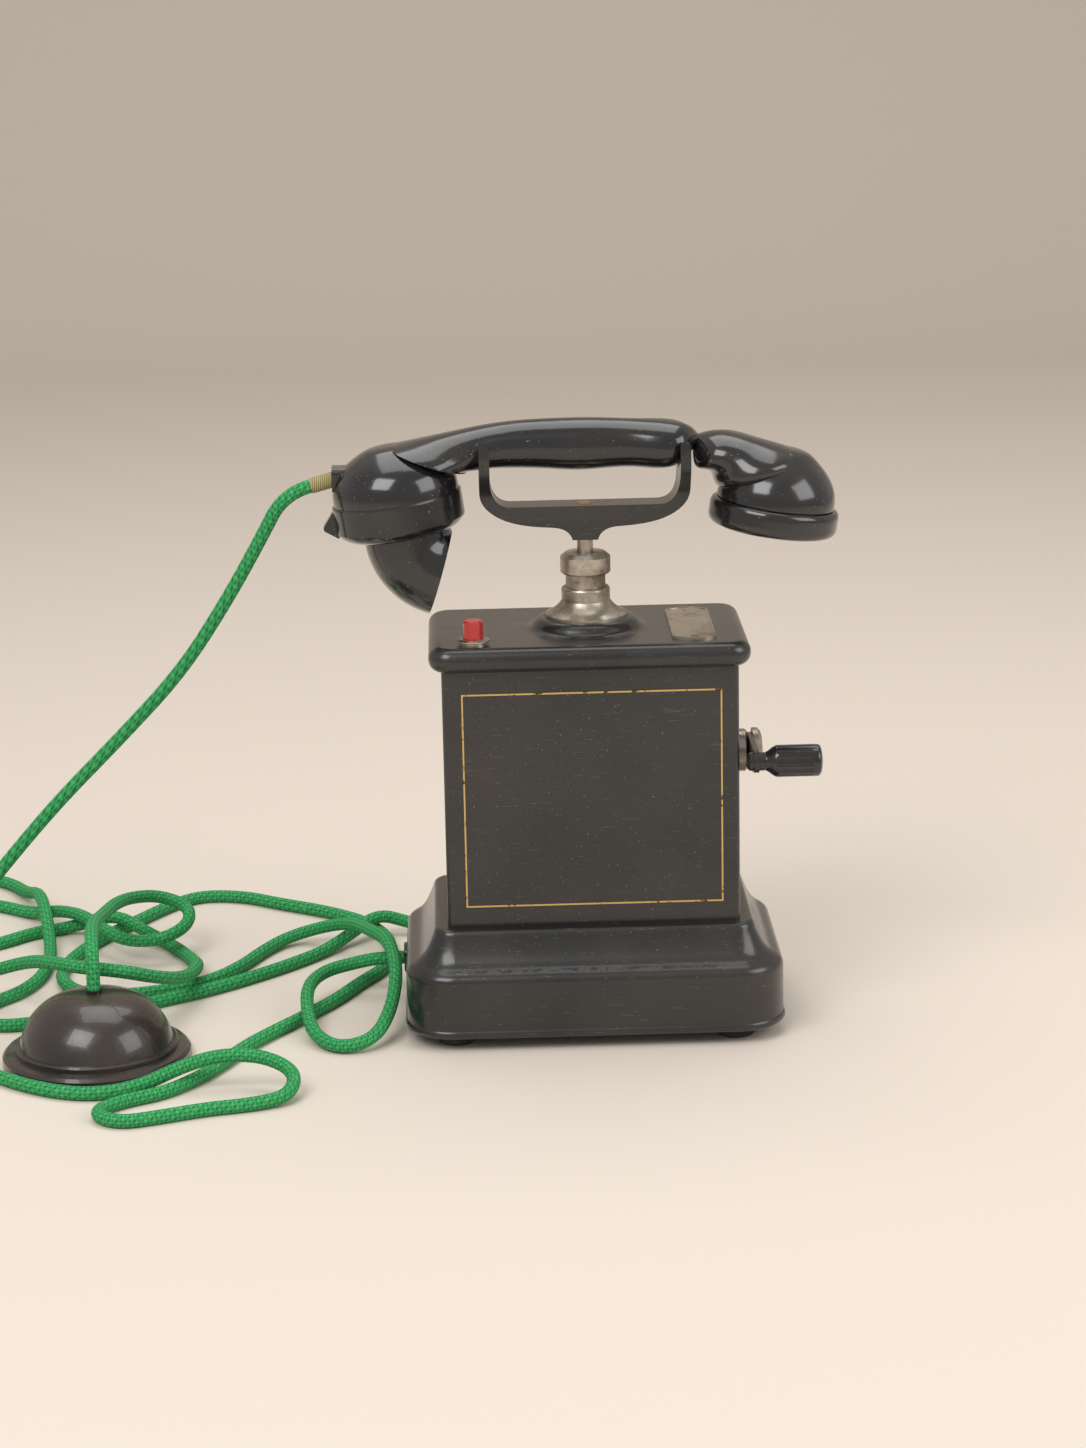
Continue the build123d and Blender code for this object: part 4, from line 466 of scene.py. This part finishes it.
class TELEPHONE_OT_gold_line(bpy.types.Operator):
    """Paint the gold line round the front of the case"""

    bl_idname = "telephone.gold_line"
    bl_label = "Gold line"

    def execute(self, context):
        wide = context.scene.telephone_case.line_wide
        left, right, low, high = GOLD_EDGES
        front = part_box("case_shell")[0][1]
        clear_selection()
        bpy.ops.mesh.primitive_plane_add(
            size=1.0, location=((left + right) / 2, front - 0.00012, (low + high) / 2),
            rotation=(math.pi / 2, 0.0, 0.0),
        )
        piece = bpy.context.object
        piece.name = "gold_line"
        piece.scale = (right - left, high - low, 1.0)
        bpy.ops.object.transform_apply(location=True, rotation=True, scale=True)
        bpy.ops.object.mode_set(mode="EDIT")
        bpy.ops.mesh.select_all(action="SELECT")
        bpy.ops.mesh.inset(thickness=wide, depth=0.0)
        bpy.ops.mesh.delete(type="FACE")
        bpy.ops.object.mode_set(mode="OBJECT")
        thick = piece.modifiers.new("paint", "SOLIDIFY")
        thick.thickness, thick.offset = PAINT_THICK, 0.0
        bpy.ops.object.modifier_apply(modifier=thick.name)
        dress(piece, bpy.data.materials["gold_line"])
        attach(piece, "telephone")
        return {"FINISHED"}


class TELEPHONE_OT_stage(bpy.types.Operator):
    """Set the floor, the lamps and the camera"""

    bl_idname = "telephone.stage"
    bl_label = "Studio"

    def lamp(self, name, place, aim, power, size):
        """A square soft lamp at a place, turned to what it lights."""
        data = bpy.data.lights.new(name, "AREA")
        data.energy, data.size = power, size
        obj = bpy.data.objects.new(name, data)
        bpy.context.scene.collection.objects.link(obj)
        obj.location = place
        obj.rotation_euler = (Vector(aim) - Vector(place)).to_track_quat("-Z", "Y").to_euler()

    def camera(self):
        """The camera at the photographed angle, for a frame of 1086 by 1448."""
        data = bpy.data.cameras.new("camera")
        data.sensor_fit = "HORIZONTAL"
        data.sensor_width = 36.0
        data.lens = FOCAL_PIXELS / FRAME_WIDTH * data.sensor_width
        data.clip_end = 20.0
        obj = bpy.data.objects.new("camera", data)
        bpy.context.scene.collection.objects.link(obj)
        ahead = Vector((0.0, math.cos(CAMERA_PITCH), -math.sin(CAMERA_PITCH)))
        above = Vector((0.0, math.sin(CAMERA_PITCH), math.cos(CAMERA_PITCH)))
        right = Vector((1.0, 0.0, 0.0))
        place = Vector(CAMERA_AIM) - CAMERA_DISTANCE * ahead
        cos_r, sin_r = math.cos(CAMERA_ROLL), math.sin(CAMERA_ROLL)
        right, above = right * cos_r + above * sin_r, above * cos_r - right * sin_r
        turn = Matrix((right, above, -ahead)).transposed().to_4x4()
        turned = Matrix.Rotation(-CAMERA_YAW, 4, "Z")
        obj.matrix_world = turned @ Matrix.Translation(place) @ turn
        bpy.context.scene.camera = obj

    def execute(self, context):
        look = context.scene.telephone_studio
        clear_selection()
        bpy.ops.mesh.primitive_plane_add(size=FLOOR_SIDE, location=(0.0, 0.0, 0.0))
        floor = bpy.context.object
        floor.name = "floor"
        bpy.ops.object.mode_set(mode="EDIT")
        bpy.ops.mesh.select_all(action="DESELECT")
        bpy.ops.object.mode_set(mode="OBJECT")
        for edge in floor.data.edges:
            edge.select = all(floor.data.vertices[v].co.y > 0.4 * FLOOR_SIDE for v in edge.vertices)
        bpy.ops.object.mode_set(mode="EDIT")
        bpy.ops.mesh.select_mode(type="EDGE")
        bpy.ops.mesh.extrude_region_move(TRANSFORM_OT_translate={"value": (0.0, 0.0, BACKDROP_HIGH)})
        bpy.ops.object.mode_set(mode="OBJECT")
        soft = floor.modifiers.new("curve", "BEVEL")
        soft.width, soft.segments, soft.limit_method = BACKDROP_CURVE, 12, "ANGLE"
        bpy.ops.object.modifier_apply(modifier=soft.name)
        bpy.ops.object.shade_smooth()
        g = Graph("backdrop")
        dress(floor, g.finish(Base_Color=tuple(look.floor), Roughness=0.9))
        world = bpy.data.worlds.new("studio")
        world.use_nodes = True
        world.node_tree.nodes["Background"].inputs["Color"].default_value = (0.90, 0.88, 0.85, 1.0)
        world.node_tree.nodes["Background"].inputs["Strength"].default_value = 0.55
        context.scene.world = world
        self.lamp("key", (-0.9, -1.3, 1.7), (0.0, 0.0, 0.1), look.key, 1.2)
        self.lamp("fill", (1.3, -0.7, 1.0), (0.0, 0.0, 0.12), look.key * 0.4, 1.0)
        self.lamp("top", (0.0, 0.5, 1.8), (0.0, 0.0, 0.1), look.key * 0.5, 1.4)
        self.camera()
        context.scene.view_settings.view_transform = "Standard"
        return {"FINISHED"}


class TELEPHONE_PT_panel(bpy.types.Panel):
    """The telephone's operators and sizes"""

    bl_idname = "TELEPHONE_PT_panel"
    bl_label = "Telephone"
    bl_space_type = "VIEW_3D"
    bl_region_type = "UI"
    bl_category = "Telephone"

    def draw(self, context):
        for operator in OPERATORS:
            self.layout.operator(operator.bl_idname)
        for group in (
            context.scene.telephone_cords, context.scene.telephone_case, context.scene.telephone_studio
        ):
            for key in group.bl_rna.properties.keys():
                if key not in ("rna_type", "name"):
                    self.layout.prop(group, key)


OPERATORS = (
    TELEPHONE_OT_stage, TELEPHONE_OT_cords, TELEPHONE_OT_finishes, TELEPHONE_OT_gold_line
)
CLASSES = (CordSizes, CaseSizes, StudioLook, *OPERATORS, TELEPHONE_PT_panel)


def register():
    for cls in CLASSES:
        bpy.utils.register_class(cls)
    bpy.types.Scene.telephone_cords = bpy.props.PointerProperty(type=CordSizes)
    bpy.types.Scene.telephone_case = bpy.props.PointerProperty(type=CaseSizes)
    bpy.types.Scene.telephone_studio = bpy.props.PointerProperty(type=StudioLook)


def unregister():
    del bpy.types.Scene.telephone_cords, bpy.types.Scene.telephone_case, bpy.types.Scene.telephone_studio
    for cls in reversed(CLASSES):
        bpy.utils.unregister_class(cls)


def main():
    register()
    bpy.ops.telephone.stage()
    bpy.ops.telephone.cords()
    bpy.ops.telephone.finishes()
    bpy.ops.telephone.gold_line()


if __name__ == "__main__":
    main()
